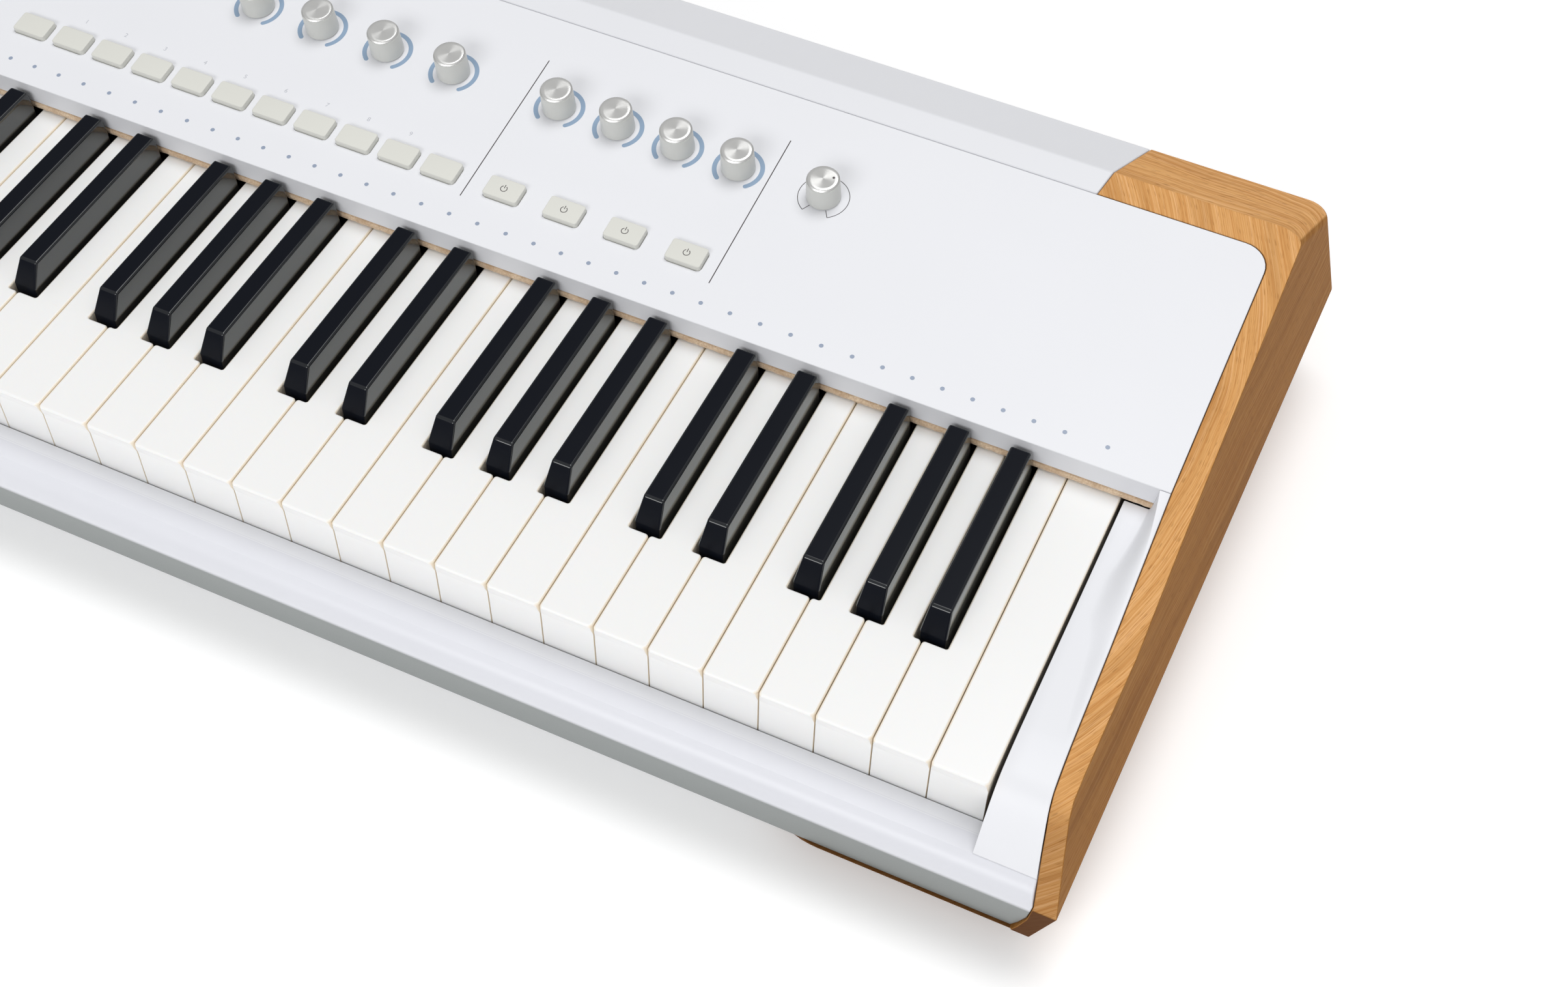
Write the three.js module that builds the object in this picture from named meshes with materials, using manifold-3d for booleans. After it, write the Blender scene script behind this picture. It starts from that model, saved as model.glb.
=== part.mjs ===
// A stage piano with 88 weighted keys between two faceted wooden ends.
// Millimetres, +Z up. Shapes are drawn about the front edge of the white keys' tops:
// X from the middle of the keyboard, Y from the keys' front faces to the rear, Z from the white tops.
import * as THREE from "three";
import { mergeVertices } from "three/addons/utils/BufferGeometryUtils.js";
import Module from "manifold-3d";

const wasm = await Module();
wasm.setup();

// Driving dimensions of the keyboard
const keyPitch = 23.5;
const whiteKeyCount = 52;
const keyCount = 88;
const movingKeyCount = 13;
const skippedNoteCount = 9;
const keyGap = 1;
const keyHead = 49.8;
const keyVisible = 147.9;
const keyCornerRadius = 1.8;
const whiteFront = 36;
const whiteFrontRun = 12;
const whiteUndersideRamp = 4;
const keyBodyDepth = 16;
const hiddenKeyStep = 4;
const hingeRun = 213;
const hingeDepth = 10;
const hingeBoss = 6;
const hingeRod = 2;
const hingeClearance = 0.3;
const notchWidth = 14.3;
const blackHeight = 12;
const blackShoulder = 1.7;
const blackFoot = 5;
const blackFootWidth = 11.4;
const blackTopWidth = 9;
const blackFrontSlope = 6.6;
const blackBackSlope = 2;
const blackFrontGap = 2.2;
const blackRearGap = 3.8;
const blackEdge = 0.9;
const blackShankWidth = 9.5;
const blackCorner = 1.6;
const wideSemitone = 14.1;

// Driving dimensions of the housing
const seam = 0.3;
const wall = 3;
const panelTilt = THREE.MathUtils.degToRad(8);
const panelFront = 148.5;
const panelFrontHeight = 14;
const panelDepth = 130.55;
const panelMargin = 19.1;
const panelCornerRadius = 12;
const cornerSteps = 8;
const lipBottom = 4.2;
const lipLean = 0.2;
const feltHeight = 3.6;
const feltDepth = 3;
const feltProud = 0.5;
const hoodCrestRun = 13.9;
const hoodDepth = 37.7;
const hoodFall = 15.1;
const hoodSkirt = 15;
const woodReturn = 79.7;
const jointSlant = THREE.MathUtils.degToRad(10.4);
const bodyBottom = 66.4;
const bodyFlare = 0.02;
const bodySpread = 0.19;
const bodyWaist = 35;
const undercutLevels = [48, 59.4];
const undercutInsets = [1.5, 4.7];
const undercutFootInset = 7.4;

// Driving dimensions of the wooden ends
const woodFacetReach = 29.3;
const woodFacetLean = 0.28;
const woodFacetSplay = 0.03;
const woodEdgeFront = 36;
const woodEdgeRise = 16;
const woodUndercut = THREE.MathUtils.degToRad(17);
const woodCornerRadius = 11;
const woodBase = 4.3;
const wingReach = 87.6;
const wingFront = 16;
const wingCornerRadius = 26;
const wingRearCornerRadius = 12;
const noseReach = 21.5;

// Driving dimensions of the cheek blocks and the key slip
const cheekClearance = 0.8;
const cheekRim = 4.3;
const cheekDrop = 44.7;
const cheekRamp = 1;
const cheekFillet = 1.6;
const cheekSweep = 9;
const slipTop = 26.5;
const slipBack = 4.6;
const slipFront = 13.8;
const slipBellyDepth = 38;
const slipBackDepth = 20;
const slipFootReach = 14.4;

// Driving dimensions of the controls, on the panel: across, up the slope and above the surface
const controlClearance = 0.3;
const buttonPitch = 21.85;
const buttonCount = 11;
const buttonSlope = 30.3;
const buttonWidth = 17;
const buttonDepth = 10.8;
const buttonTaper = 0.3;
const buttonHeight = 2.5;
const buttonCrown = 0.5;
const buttonCorner = 1.9;
const buttonFlange = 0.9;
const buttonFlangeDrop = 2.2;
const buttonGroupGap = 31.7;
const effectPitch = 29.8;
const effectCount = 4;
const lastEffectFromEnd = 230;
const knobSlope = 82.6;
const knobRadius = 7.7;
const knobTopRadius = 7.35;
const knobHeight = 13;
const knobEdge = 0.5;
const knobLift = 0.4;
const knobShaft = 2.7;
const knobShaftDrop = 9;
const macroPitch = 34.9;
const macroCount = 4;
const knobGroupGap = 54.7;
const volumeFromEnd = 188.8;
const displayFromMiddle = 52;
const displaySlope = 66;
const displayRadius = 25;
const displayProud = 3.5;
const dialRadius = 34;
const dialHeight = 8;
const dialSleeve = 1.6;
const dialSleeveDrop = 6;
const dialBevel = 1.4;
const wheelRadius = 17;
const wheelWidth = 14;
const wheelSink = 7;
const wheelSlope = 66;
const wheelPitch = 32;
const wheelFromEnd = 52;
const wheelAxle = 3;
const wheelAxleRun = 5;
const wheelEdge = 1.4;
const wheelDimple = 6;
const wheelDimpleDepth = 1.8;
const boardDrop = 9.1;
const boardThickness = 1.6;
const boardFront = 10;
const boardMargin = 10.55;
const bossRadius = 4;
const bossAcrossShares = [-0.8, -0.45, 0.12, 0.42, 0.62];
const boardLeftShare = -0.84;

// Driving dimensions of the inside, the feet and the rear sockets
const bedThickness = 2;
const bedFront = 4;
const bedInset = 4;
const guideRailRun = 26;
const guideRailTop = 46;
const blackRailSetback = 25;
const blackRailDepth = 16;
const blackRailTop = 27;
const blackRailThickness = 5;
const whiteRailDepth = 12;
const railSetback = 2;
const footRadius = 11;
const footHeight = 9;
const footBevel = 1.2;
const footFromEnd = 36;
const footFront = 34;
const footRear = 44;
const socketPlateWidth = 336;
const socketPlateHeight = 34;
const socketPlateDepth = 14;
const socketPlateFromEnd = 120;
const socketPlateDrop = 33;
const socketDepth = 11;
const socketPitch = 25;
const jackRadius = 3.4;
const roundSocketRadius = 7.6;
const powerInletRadius = 3.2;
const squareSocket = 8.4;
const flatSocketWidth = 13.2;
const flatSocketHeight = 5.8;
const jackCount = 8;
const powerButtonRadius = 6;
const powerButtonTravel = 2;
const cutOverrun = 20;

// Sizes that follow
const blackRailRun = hingeRun - blackRailSetback;
const keyboardEnd = (whiteKeyCount * keyPitch) / 2;
const bodyEnd = keyboardEnd + panelMargin;
const boardDepth = panelDepth - boardFront - boardMargin;
const firstEffectFromEnd = lastEffectFromEnd + (effectCount - 1) * effectPitch;
const lastButtonFromEnd = firstEffectFromEnd + buttonGroupGap;
const lastMacroFromEnd = firstEffectFromEnd + knobGroupGap;
const panelRise = panelDepth * Math.sin(panelTilt);
const panelRun = panelDepth * Math.cos(panelTilt);
const rearSeam = panelFront + panelRun;
const feltFront = panelFront - lipLean - feltProud;
const crestRun = rearSeam + hoodCrestRun;
const crestHeight = panelFrontHeight + panelRise + hoodCrestRun * Math.tan(panelTilt);
const rearRun = crestRun + hoodDepth;
const rearEdgeHeight = crestHeight - hoodFall;
const hoodBottom = rearEdgeHeight - hoodSkirt;
const jointAtSeam = bodyEnd - woodReturn;
const jointSlope = Math.tan(jointSlant);
const woodBottom = bodyBottom + seam + woodBase;
const floorTop = bodyBottom - wall;
const bedBottom = floorTop - seam;
const bedTop = bedBottom - bedThickness;
const totalBase = woodBottom + footHeight;
const narrowSemitone = (7 * keyPitch - 5 * wideSemitone) / 7;
const far = 2 * cutOverrun;

// Materials
const paint = (color, roughness, metalness = 0) =>
  new THREE.MeshStandardMaterial({ color, roughness, metalness });
const whitePlastic = paint("#ecedf0", 0.45);
const hoodPlastic = paint("#e2e3e8", 0.45);
const slipPlastic = paint("#e6e7ec", 0.45);
const casePlastic = paint("#c9cbcd", 0.6);
const wood = paint("#c98f52", 0.5);
const keyWhite = paint("#f4f4f1", 0.3);
const keyBlack = paint("#1e2127", 0.35);
const felt = paint("#cfb094", 0.95);
const steel = paint("#9fa3a6", 0.4, 0.9);
const boardGreen = paint("#2c5a3c", 0.6);
const buttonPlastic = paint("#e9e9e3", 0.5);
const knobMetal = paint("#d4d6d6", 0.3, 0.8);
const glass = paint("#15171b", 0.1);
const rubber = paint("#26272a", 0.85);
const wheelRubber = paint("#4a4d52", 0.7);
const socketPlastic = paint("#2b2d31", 0.6);

// Geometry with a closed surface becomes a solid, and a solid becomes geometry again.
function solidOf(geometry) {
  const bare = geometry.clone();
  bare.deleteAttribute("normal");
  bare.deleteAttribute("uv");
  const merged = mergeVertices(bare, 1e-4);
  return new wasm.Manifold(
    new wasm.Mesh({
      numProp: 3,
      vertProperties: merged.attributes.position.array,
      triVerts: new Uint32Array(merged.index.array),
    }),
  );
}

function geometryOf(solid) {
  const mesh = solid.getMesh();
  const geometry = new THREE.BufferGeometry();
  geometry.setAttribute("position", new THREE.BufferAttribute(mesh.vertProperties, 3));
  geometry.setIndex(new THREE.BufferAttribute(mesh.triVerts, 1));
  const faceted = geometry.toNonIndexed();
  faceted.computeVertexNormals();
  return faceted;
}

function joined(solids) {
  return solids.reduce((sum, next) => sum.add(next));
}

function cutFrom(solid, cuts) {
  return cuts.reduce((rest, cut) => rest.subtract(cut), solid);
}

function moved(solid, place) {
  const geometry = geometryOf(solid);
  geometry.applyMatrix4(place);
  return solidOf(geometry);
}

// Places for revolved pieces: upright, lying along X, or pointing to the rear
const upright = (x, y, z) => new THREE.Matrix4().makeTranslation(x, y, z);
const lengthwise = (x, y, z) => upright(x, y, z).multiply(new THREE.Matrix4().makeRotationY(Math.PI / 2));
const rearwards = (x, y, z) => upright(x, y, z).multiply(new THREE.Matrix4().makeRotationX(-Math.PI / 2));

// A straight prism whose outline is turned into place by three axes.
function prism(outline, length, axes, place) {
  const shape = new THREE.Shape(outline.map(([a, b]) => new THREE.Vector2(a, b)));
  const geometry = new THREE.ExtrudeGeometry(shape, {
    depth: length,
    bevelEnabled: false,
    steps: 1,
  });
  geometry.applyMatrix4(new THREE.Matrix4().makeBasis(...axes).setPosition(place));
  return solidOf(geometry);
}

const alongX = new THREE.Vector3(1, 0, 0);
const alongY = new THREE.Vector3(0, 1, 0);
const alongZ = new THREE.Vector3(0, 0, 1);

// outline in (Y, Z)
function prismX(outline, from, to) {
  return prism(outline, to - from, [alongY, alongZ, alongX], new THREE.Vector3(from, 0, 0));
}

// outline in (X, Y)
function prismZ(outline, from, to) {
  return prism(outline, to - from, [alongX, alongY, alongZ], new THREE.Vector3(0, 0, from));
}

function block(x0, x1, y0, y1, z0, z1) {
  const box = new THREE.BoxGeometry(x1 - x0, y1 - y0, z1 - z0);
  box.translate((x0 + x1) / 2, (y0 + y1) / 2, (z0 + z1) / 2);
  return solidOf(box);
}

function ringNormal(ring) {
  const normal = new THREE.Vector3();
  ring.forEach((point, i) => {
    const next = ring[(i + 1) % ring.length];
    const side = point.clone().sub(ring[0]);
    normal.add(side.cross(next.clone().sub(ring[0])));
  });
  return normal.normalize();
}

// Rings with the same number of points, joined one after another and closed at both ends.
// A ring runs the right-handed way about the direction towards the next one.
function loft(given) {
  const onward = given.at(-1)[0].clone().sub(given[0][0]);
  const rings = ringNormal(given[0]).dot(onward) < 0 ? given.toReversed() : given;
  const count = rings[0].length;
  const positions = rings.flat().flatMap((point) => [point.x, point.y, point.z]);
  const faces = [];
  for (let level = 0; level + 1 < rings.length; level += 1) {
    for (let i = 0; i < count; i += 1) {
      const next = (i + 1) % count;
      const low = level * count;
      const high = low + count;
      faces.push(low + i, low + next, high + next);
      faces.push(low + i, high + next, high + i);
    }
  }
  const cap = (ring, first, flipped) => {
    const turn = new THREE.Quaternion().setFromUnitVectors(ringNormal(ring), alongZ);
    const flat = ring.map((point) => {
      const turned = point.clone().applyQuaternion(turn);
      return new THREE.Vector2(turned.x, turned.y);
    });
    for (const [a, b, c] of THREE.ShapeUtils.triangulateShape(flat, [])) {
      faces.push(first + a, first + (flipped ? c : b), first + (flipped ? b : c));
    }
  };
  cap(rings[0], 0, true);
  cap(rings.at(-1), (rings.length - 1) * count, false);
  const geometry = new THREE.BufferGeometry();
  geometry.setAttribute("position", new THREE.Float32BufferAttribute(positions, 3));
  geometry.setIndex(faces);
  return solidOf(geometry.toNonIndexed());
}

// Points of a quarter round about a corner, between two square directions.
function quarterRound(centreX, centreY, radius, startAngle, steps) {
  return Array.from({ length: steps + 1 }, (_, i) => {
    const angle = startAngle + (i / steps) * (Math.PI / 2);
    return [centreX + radius * Math.cos(angle), centreY + radius * Math.sin(angle)];
  });
}

function roundedOutline(width, depth, radius, steps) {
  const x = width / 2 - radius;
  const y = depth / 2 - radius;
  return [
    ...quarterRound(x, y, radius, 0, steps),
    ...quarterRound(-x, y, radius, Math.PI / 2, steps),
    ...quarterRound(-x, -y, radius, Math.PI, steps),
    ...quarterRound(x, -y, radius, (3 * Math.PI) / 2, steps),
  ];
}

function levelRing(outline, z) {
  return outline.map(([x, y]) => new THREE.Vector3(x, y, z));
}

// A revolved solid about +Z. profile runs in (radius, height) from bottom to top.
function turned(profile, sides, place = new THREE.Matrix4()) {
  const lathe = new THREE.LatheGeometry(
    profile.map(([radius, height]) => new THREE.Vector2(radius, height)),
    sides,
  );
  lathe.rotateX(Math.PI / 2);
  lathe.applyMatrix4(place);
  return solidOf(lathe);
}

function cylinder(radius, low, high, sides, place) {
  const profile = [
    [0, low],
    [radius, low],
    [radius, high],
    [0, high],
  ];
  return turned(profile, sides, place);
}

function mirrored(solid) {
  const geometry = geometryOf(solid);
  geometry.scale(-1, 1, 1);
  const position = geometry.getAttribute("position");
  for (let i = 0; i < position.count; i += 3) {
    const kept = new THREE.Vector3().fromBufferAttribute(position, i + 1);
    const swapped = new THREE.Vector3().fromBufferAttribute(position, i + 2);
    position.setXYZ(i + 1, swapped.x, swapped.y, swapped.z);
    position.setXYZ(i + 2, kept.x, kept.y, kept.z);
  }
  return solidOf(geometry);
}

function placed(name, solid, material, position = [0, 0, 0]) {
  const mesh = new THREE.Mesh(geometryOf(solid), material);
  mesh.name = name;
  mesh.position.set(...position);
  return mesh;
}

// Side profile of the whole instrument: the line that panel, cheek, slip and wood share
const cheekLineRunShares = [1, 0.7, 0.505, 0.29, 0.135, 0.0585];
const cheekLineHeightShares = [1, 0.5, 0.157, 0.057, -0.04, -0.143];
const noseLineRunShares = [-0.121, 0.116, 0.326, 0.647, 0.884, 1];
const noseLineHeightShares = [0.16, 0.333, 0.472, 0.722, 0.905, 1];

function topLine() {
  const cheekLine = cheekLineRunShares.map((share, i) => [
    share * panelFront,
    cheekLineHeightShares[i] * panelFrontHeight,
  ]);
  const noseLine = noseLineRunShares.map((share, i) => [
    -share * noseReach,
    -noseLineHeightShares[i] * woodEdgeFront,
  ]);
  return [...cheekLine, ...noseLine];
}

function heightAt(run) {
  const line = topLine();
  for (let i = 0; i + 1 < line.length; i += 1) {
    const [y1, z1] = line[i];
    const [y0, z0] = line[i + 1];
    if (run <= y1 && run >= y0) {
      return z0 + ((z1 - z0) * (run - y0)) / (y1 - y0);
    }
  }
  return panelFrontHeight + (run - panelFront) * Math.tan(panelTilt);
}

// The white body's side surface: upright, with a little splay, and flared below the keys.
function bodyRing(run, end, inset) {
  const side = end + bodyFlare * (panelFront - run) - inset;
  const waist = side + bodySpread * bodyWaist;
  const half = [
    [side, far],
    [side, 0],
    [waist, -bodyWaist],
    ...undercutLevels.map((level, i) => [waist - undercutInsets[i], -level]),
    [waist - undercutFootInset, -(bodyBottom + seam - inset)],
  ];
  const left = half.map(([x, z]) => new THREE.Vector3(-x, run, z));
  const right = half.map(([x, z]) => new THREE.Vector3(x, run, z)).reverse();
  return [...left, ...right];
}

// Everything inside the wooden ends. inset draws it in, so that neighbours keep a seam.
function bodyRegion(inset) {
  const frontRing = bodyRing(-far, bodyEnd, inset);
  const backRing = bodyRing(panelFront, bodyEnd, inset);
  const front = loft([backRing, frontRing]);
  const radius = panelCornerRadius;
  const side = bodyEnd - inset;
  const rear = rearSeam - inset;
  const joint = jointAtSeam - inset;
  const overRun = rearRun + cutOverrun;
  const half = [
    [side, panelFront - cutOverrun],
    ...quarterRound(side - radius, rear - radius, radius, 0, cornerSteps),
    [joint, rear],
    [joint + (overRun - rearSeam) * jointSlope, overRun],
  ];
  const plan = [...half, ...half.map(([x, y]) => [-x, y]).reverse()];
  const behind = block(-2 * bodyEnd, 2 * bodyEnd, panelFront, overRun, -bodyBottom - seam + inset, far);
  return front.add(prismZ(plan, -bodyBottom - seam + inset, far).intersect(behind));
}

// Wooden end: a block faceted on its outside, that wraps the rear corner and the underside
function woodEnd() {
  const facetAt = (run, z) => keyboardEnd + woodFacetReach + run * woodFacetSplay - z * woodFacetLean;
  const outerEnd = keyboardEnd + 2 * woodFacetReach;
  const profile = [
    ...topLine().reverse(),
    [rearSeam, panelFrontHeight + panelRise],
    [crestRun, crestHeight],
    [rearRun, rearEdgeHeight],
    [rearRun, -woodBottom],
    [-wingFront, -woodBottom],
  ];
  const side = prismX(profile, jointAtSeam - seam, outerEnd);

  const cornerRing = (z) => {
    const rear = z > rearEdgeHeight ? rearRun - ((z - rearEdgeHeight) * hoodDepth) / hoodFall : rearRun;
    const reach = facetAt(rear, z);
    const radius = woodCornerRadius;
    return levelRing(
      [
        [0, -far],
        [facetAt(-far, z), -far],
        ...quarterRound(reach - radius, rear - radius, radius, 0, cornerSteps),
        [0, rear],
      ],
      z,
    );
  };
  const facets = loft([-woodBottom - seam, rearEdgeHeight, crestHeight, far].map(cornerRing));

  const undercutRing = (run) => {
    const edgeZ = -woodEdgeFront + (woodEdgeRise * (run + noseReach)) / (rearRun + noseReach);
    const edgeX = facetAt(run, edgeZ);
    const depth = woodBottom + edgeZ;
    const tuck = Math.tan(woodUndercut);
    return [
      [0, -woodBottom],
      [edgeX - depth * tuck - woodBase / 2, -woodBottom],
      [edgeX - (depth - woodBase / 2) * tuck, -woodBottom + woodBase / 2],
      [edgeX, edgeZ],
      [edgeX, far],
      [0, far],
    ].map(([x, z]) => new THREE.Vector3(x, run, z));
  };
  const undercut = loft([undercutRing(rearRun + far), undercutRing(-far)]);

  const shaped = side.intersect(facets).intersect(undercut);
  const upper = shaped.subtract(bodyRegion(0));
  const wingStart = bodyEnd - wingReach;
  const frontRadius = wingCornerRadius;
  const rearRadius = wingRearCornerRadius;
  const wingOutline = [
    ...quarterRound(wingStart + frontRadius, -wingFront + frontRadius, frontRadius, Math.PI, 5),
    [outerEnd, -wingFront],
    [outerEnd, rearRun],
    ...quarterRound(wingStart + rearRadius, rearRun - rearRadius, rearRadius, Math.PI / 2, 4),
  ];
  const keepWing = prismZ(wingOutline, -woodBottom - far, -bodyBottom - seam);
  const keepUpper = block(bodyEnd, outerEnd, -far, rearRun, -woodBottom - far, far);
  const keepReturn = block(jointAtSeam - seam, outerEnd, rearSeam, rearRun + far, -bodyBottom - seam, far);
  const cornerStart = bodyEnd - panelCornerRadius;
  const cornerFront = rearSeam - panelCornerRadius;
  const keepCorner = block(cornerStart, outerEnd, cornerFront, rearRun, -bodyBottom - seam, far);
  return upper.intersect(joined([keepWing, keepUpper, keepReturn, keepCorner]));
}

// The fillet at the foot of the cheek rim: back from the rim, and up its height
const filletShares = [
  [1, 0],
  [0.3, 0.12],
  [0, 0.4],
  [-0.02, 1],
];

// Cheek block: flat beside the keys, with a rim that runs up to the panel
function cheekBlock() {
  const inner = keyboardEnd + cheekClearance;
  const rear = panelFront - lipLean - seam;
  const outer = bodyEnd + 2 * panelMargin;
  const section = (run) => {
    const height = Math.max(heightAt(run), 0);
    const rimStart = bodyEnd - cheekRim;
    const share = height / panelFrontHeight;
    const ramp = cheekRamp * share;
    const sweep = cheekSweep * share;
    return [
      [inner, -cheekDrop - cutOverrun],
      [inner, 0],
      [rimStart - cheekFillet - sweep, 0],
      ...filletShares.map(([back, rise]) => [
        rimStart - cheekFillet * back,
        ramp + (height - ramp) * rise,
      ]),
      [outer, height],
      [outer, -cheekDrop - cutOverrun],
    ].map(([x, z]) => new THREE.Vector3(x, run, z));
  };
  const runs = [rear, ...cheekLineRunShares.slice(1, 5).map((share) => share * panelFront), -far];
  const surface = loft(runs.map(section));
  const side = [
    [rear, far],
    [rear, -cheekDrop],
    [-slipBack + seam, -cheekDrop],
    [-slipBack + seam, -slipTop + seam],
    [-slipFront, -slipTop + seam],
    ...topLine().filter(([y, z]) => y < cheekLineRunShares[3] * panelFront && y > -slipFront).reverse(),
    [cheekLineRunShares[3] * panelFront, far],
  ];
  const shell = surface.intersect(prismX(side, inner, outer)).intersect(bodyRegion(seam));
  const pocket = block(
    inner + wall,
    bodyEnd - cheekRim,
    wall,
    rear - wall,
    -cheekDrop - cutOverrun,
    -2 * wall,
  );
  const feltSlot = block(
    inner - seam,
    bodyEnd - cheekRim,
    feltFront - seam,
    rear + seam,
    0,
    panelFrontHeight,
  );
  return cutFrom(shell, [pocket, feltSlot]);
}

// Key slip: the rail in front of the keys, hollow behind its curved face
function keySlip() {
  const belly = new THREE.CubicBezierCurve(
    new THREE.Vector2(-slipFront, -slipTop),
    new THREE.Vector2(-noseReach + wall, -slipTop - wall / 2),
    new THREE.Vector2(-noseReach, -slipTop - 2 * wall),
    new THREE.Vector2(-noseReach + seam, -slipBellyDepth),
  );
  const outside = belly.getPoints(6).map((point) => [point.x, point.y]);
  outside.push([-noseReach + wall / 3, -slipBellyDepth - wall]);
  const profile = [
    [-slipBack, -slipTop],
    ...outside,
    [-slipFootReach, -bodyBottom],
    [-slipFootReach + wall, -bodyBottom],
    [-noseReach + 1.4 * wall, -slipBellyDepth - wall],
    [-noseReach + 1.4 * wall, -slipBellyDepth],
    [-slipFront, -slipTop - wall],
    [-slipBack - wall, -slipTop - wall],
    [-slipBack - wall, -slipTop - slipBackDepth],
    [-slipBack, -slipTop - slipBackDepth],
  ];
  return prismX(profile, -bodyEnd - panelMargin, bodyEnd + panelMargin).intersect(bodyRegion(seam));
}

// Bottom case: a tray with a floor, a rear wall and two sides under panel and cheeks
function bottomCase() {
  const cheekSeat = -cheekDrop - seam;
  const panelSeatFront = panelFrontHeight - (wall + seam) / Math.cos(panelTilt);
  const lipRear = panelFront + wall + 2 * seam;
  const panelSeatRun = rearSeam - wall - lipRear;
  const outside = [
    [-slipFootReach + wall + seam, -bodyBottom],
    [rearRun, -bodyBottom],
    [rearRun, hoodBottom - seam],
    [rearRun - wall, hoodBottom - seam],
    [crestRun, hoodBottom - seam],
    [rearSeam - wall, panelSeatFront + panelSeatRun * Math.tan(panelTilt)],
    [lipRear, panelSeatFront],
    [lipRear, cheekSeat],
    [-slipBack + seam, cheekSeat],
    [-slipBack + seam, -floorTop],
    [-slipFootReach + wall + seam, -floorTop],
  ];
  const inside = block(
    -bodyEnd + seam + wall,
    bodyEnd - seam - wall,
    -cutOverrun,
    rearRun - wall,
    -floorTop,
    crestHeight,
  );
  const tray = prismX(outside, -bodyEnd - panelMargin, bodyEnd + panelMargin)
    .intersect(bodyRegion(seam))
    .subtract(inside);
  const [x0, x1, z0, z1] = socketPlateEdges();
  const plateFront = rearRun - 2 * wall;
  const cutOut = block(x0 - seam, x1 + seam, plateFront, rearRun + cutOverrun, z0 - seam, z1 + seam);
  const buttonHole = cylinder(
    powerButtonRadius + seam,
    -cutOverrun,
    cutOverrun,
    20,
    rearwards(powerButtonX(), rearRun, -socketPlateDrop),
  );
  return cutFrom(tray, [cutOut, buttonHole]);
}

// Rear hood: crest, falling rear face and the upper part of the rear wall
function rearHood() {
  const profile = [
    [rearSeam + seam, panelFrontHeight + panelRise + seam * Math.tan(panelTilt)],
    [crestRun, crestHeight],
    [rearRun, rearEdgeHeight],
    [rearRun, hoodBottom],
    [rearRun - wall, hoodBottom],
    [rearRun - wall, rearEdgeHeight - wall],
    [crestRun, crestHeight - wall],
    [rearSeam + seam, panelFrontHeight + panelRise - wall],
  ];
  return prismX(profile, -bodyEnd, bodyEnd).intersect(bodyRegion(seam));
}

// Panel surface frame: y up the slope from the front edge, z square to the surface
function onPanel(run, height) {
  const y = run - panelFront;
  const z = height - panelFrontHeight;
  const c = Math.cos(panelTilt);
  const s = Math.sin(panelTilt);
  return [y * c + z * s, z * c - y * s];
}

function buttonPlaces() {
  const lastButton = bodyEnd - lastButtonFromEnd;
  const lastEffect = bodyEnd - lastEffectFromEnd;
  const row = Array.from({ length: buttonCount }, (_, i) => ({
    name: `category_button_${i + 1}`,
    x: lastButton - (buttonCount - 1 - i) * buttonPitch,
  }));
  const effects = Array.from({ length: effectCount }, (_, i) => ({
    name: `effect_button_${i + 1}`,
    x: lastEffect - (effectCount - 1 - i) * effectPitch,
  }));
  return [...row, ...effects];
}

function knobPlaces() {
  const lastEffect = bodyEnd - lastEffectFromEnd;
  const lastMacro = bodyEnd - lastMacroFromEnd;
  const macros = Array.from({ length: macroCount }, (_, i) => ({
    name: `macro_knob_${i + 1}`,
    x: lastMacro - (macroCount - 1 - i) * macroPitch,
  }));
  const effects = Array.from({ length: effectCount }, (_, i) => ({
    name: `effect_knob_${i + 1}`,
    x: lastEffect - (effectCount - 1 - i) * effectPitch,
  }));
  return [...macros, ...effects, { name: "volume_knob", x: bodyEnd - volumeFromEnd }];
}

function wheelPlaces() {
  const first = -bodyEnd + wheelFromEnd;
  return [
    { name: "pitch_wheel", x: first },
    { name: "modulation_wheel", x: first + wheelPitch },
  ];
}

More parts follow.
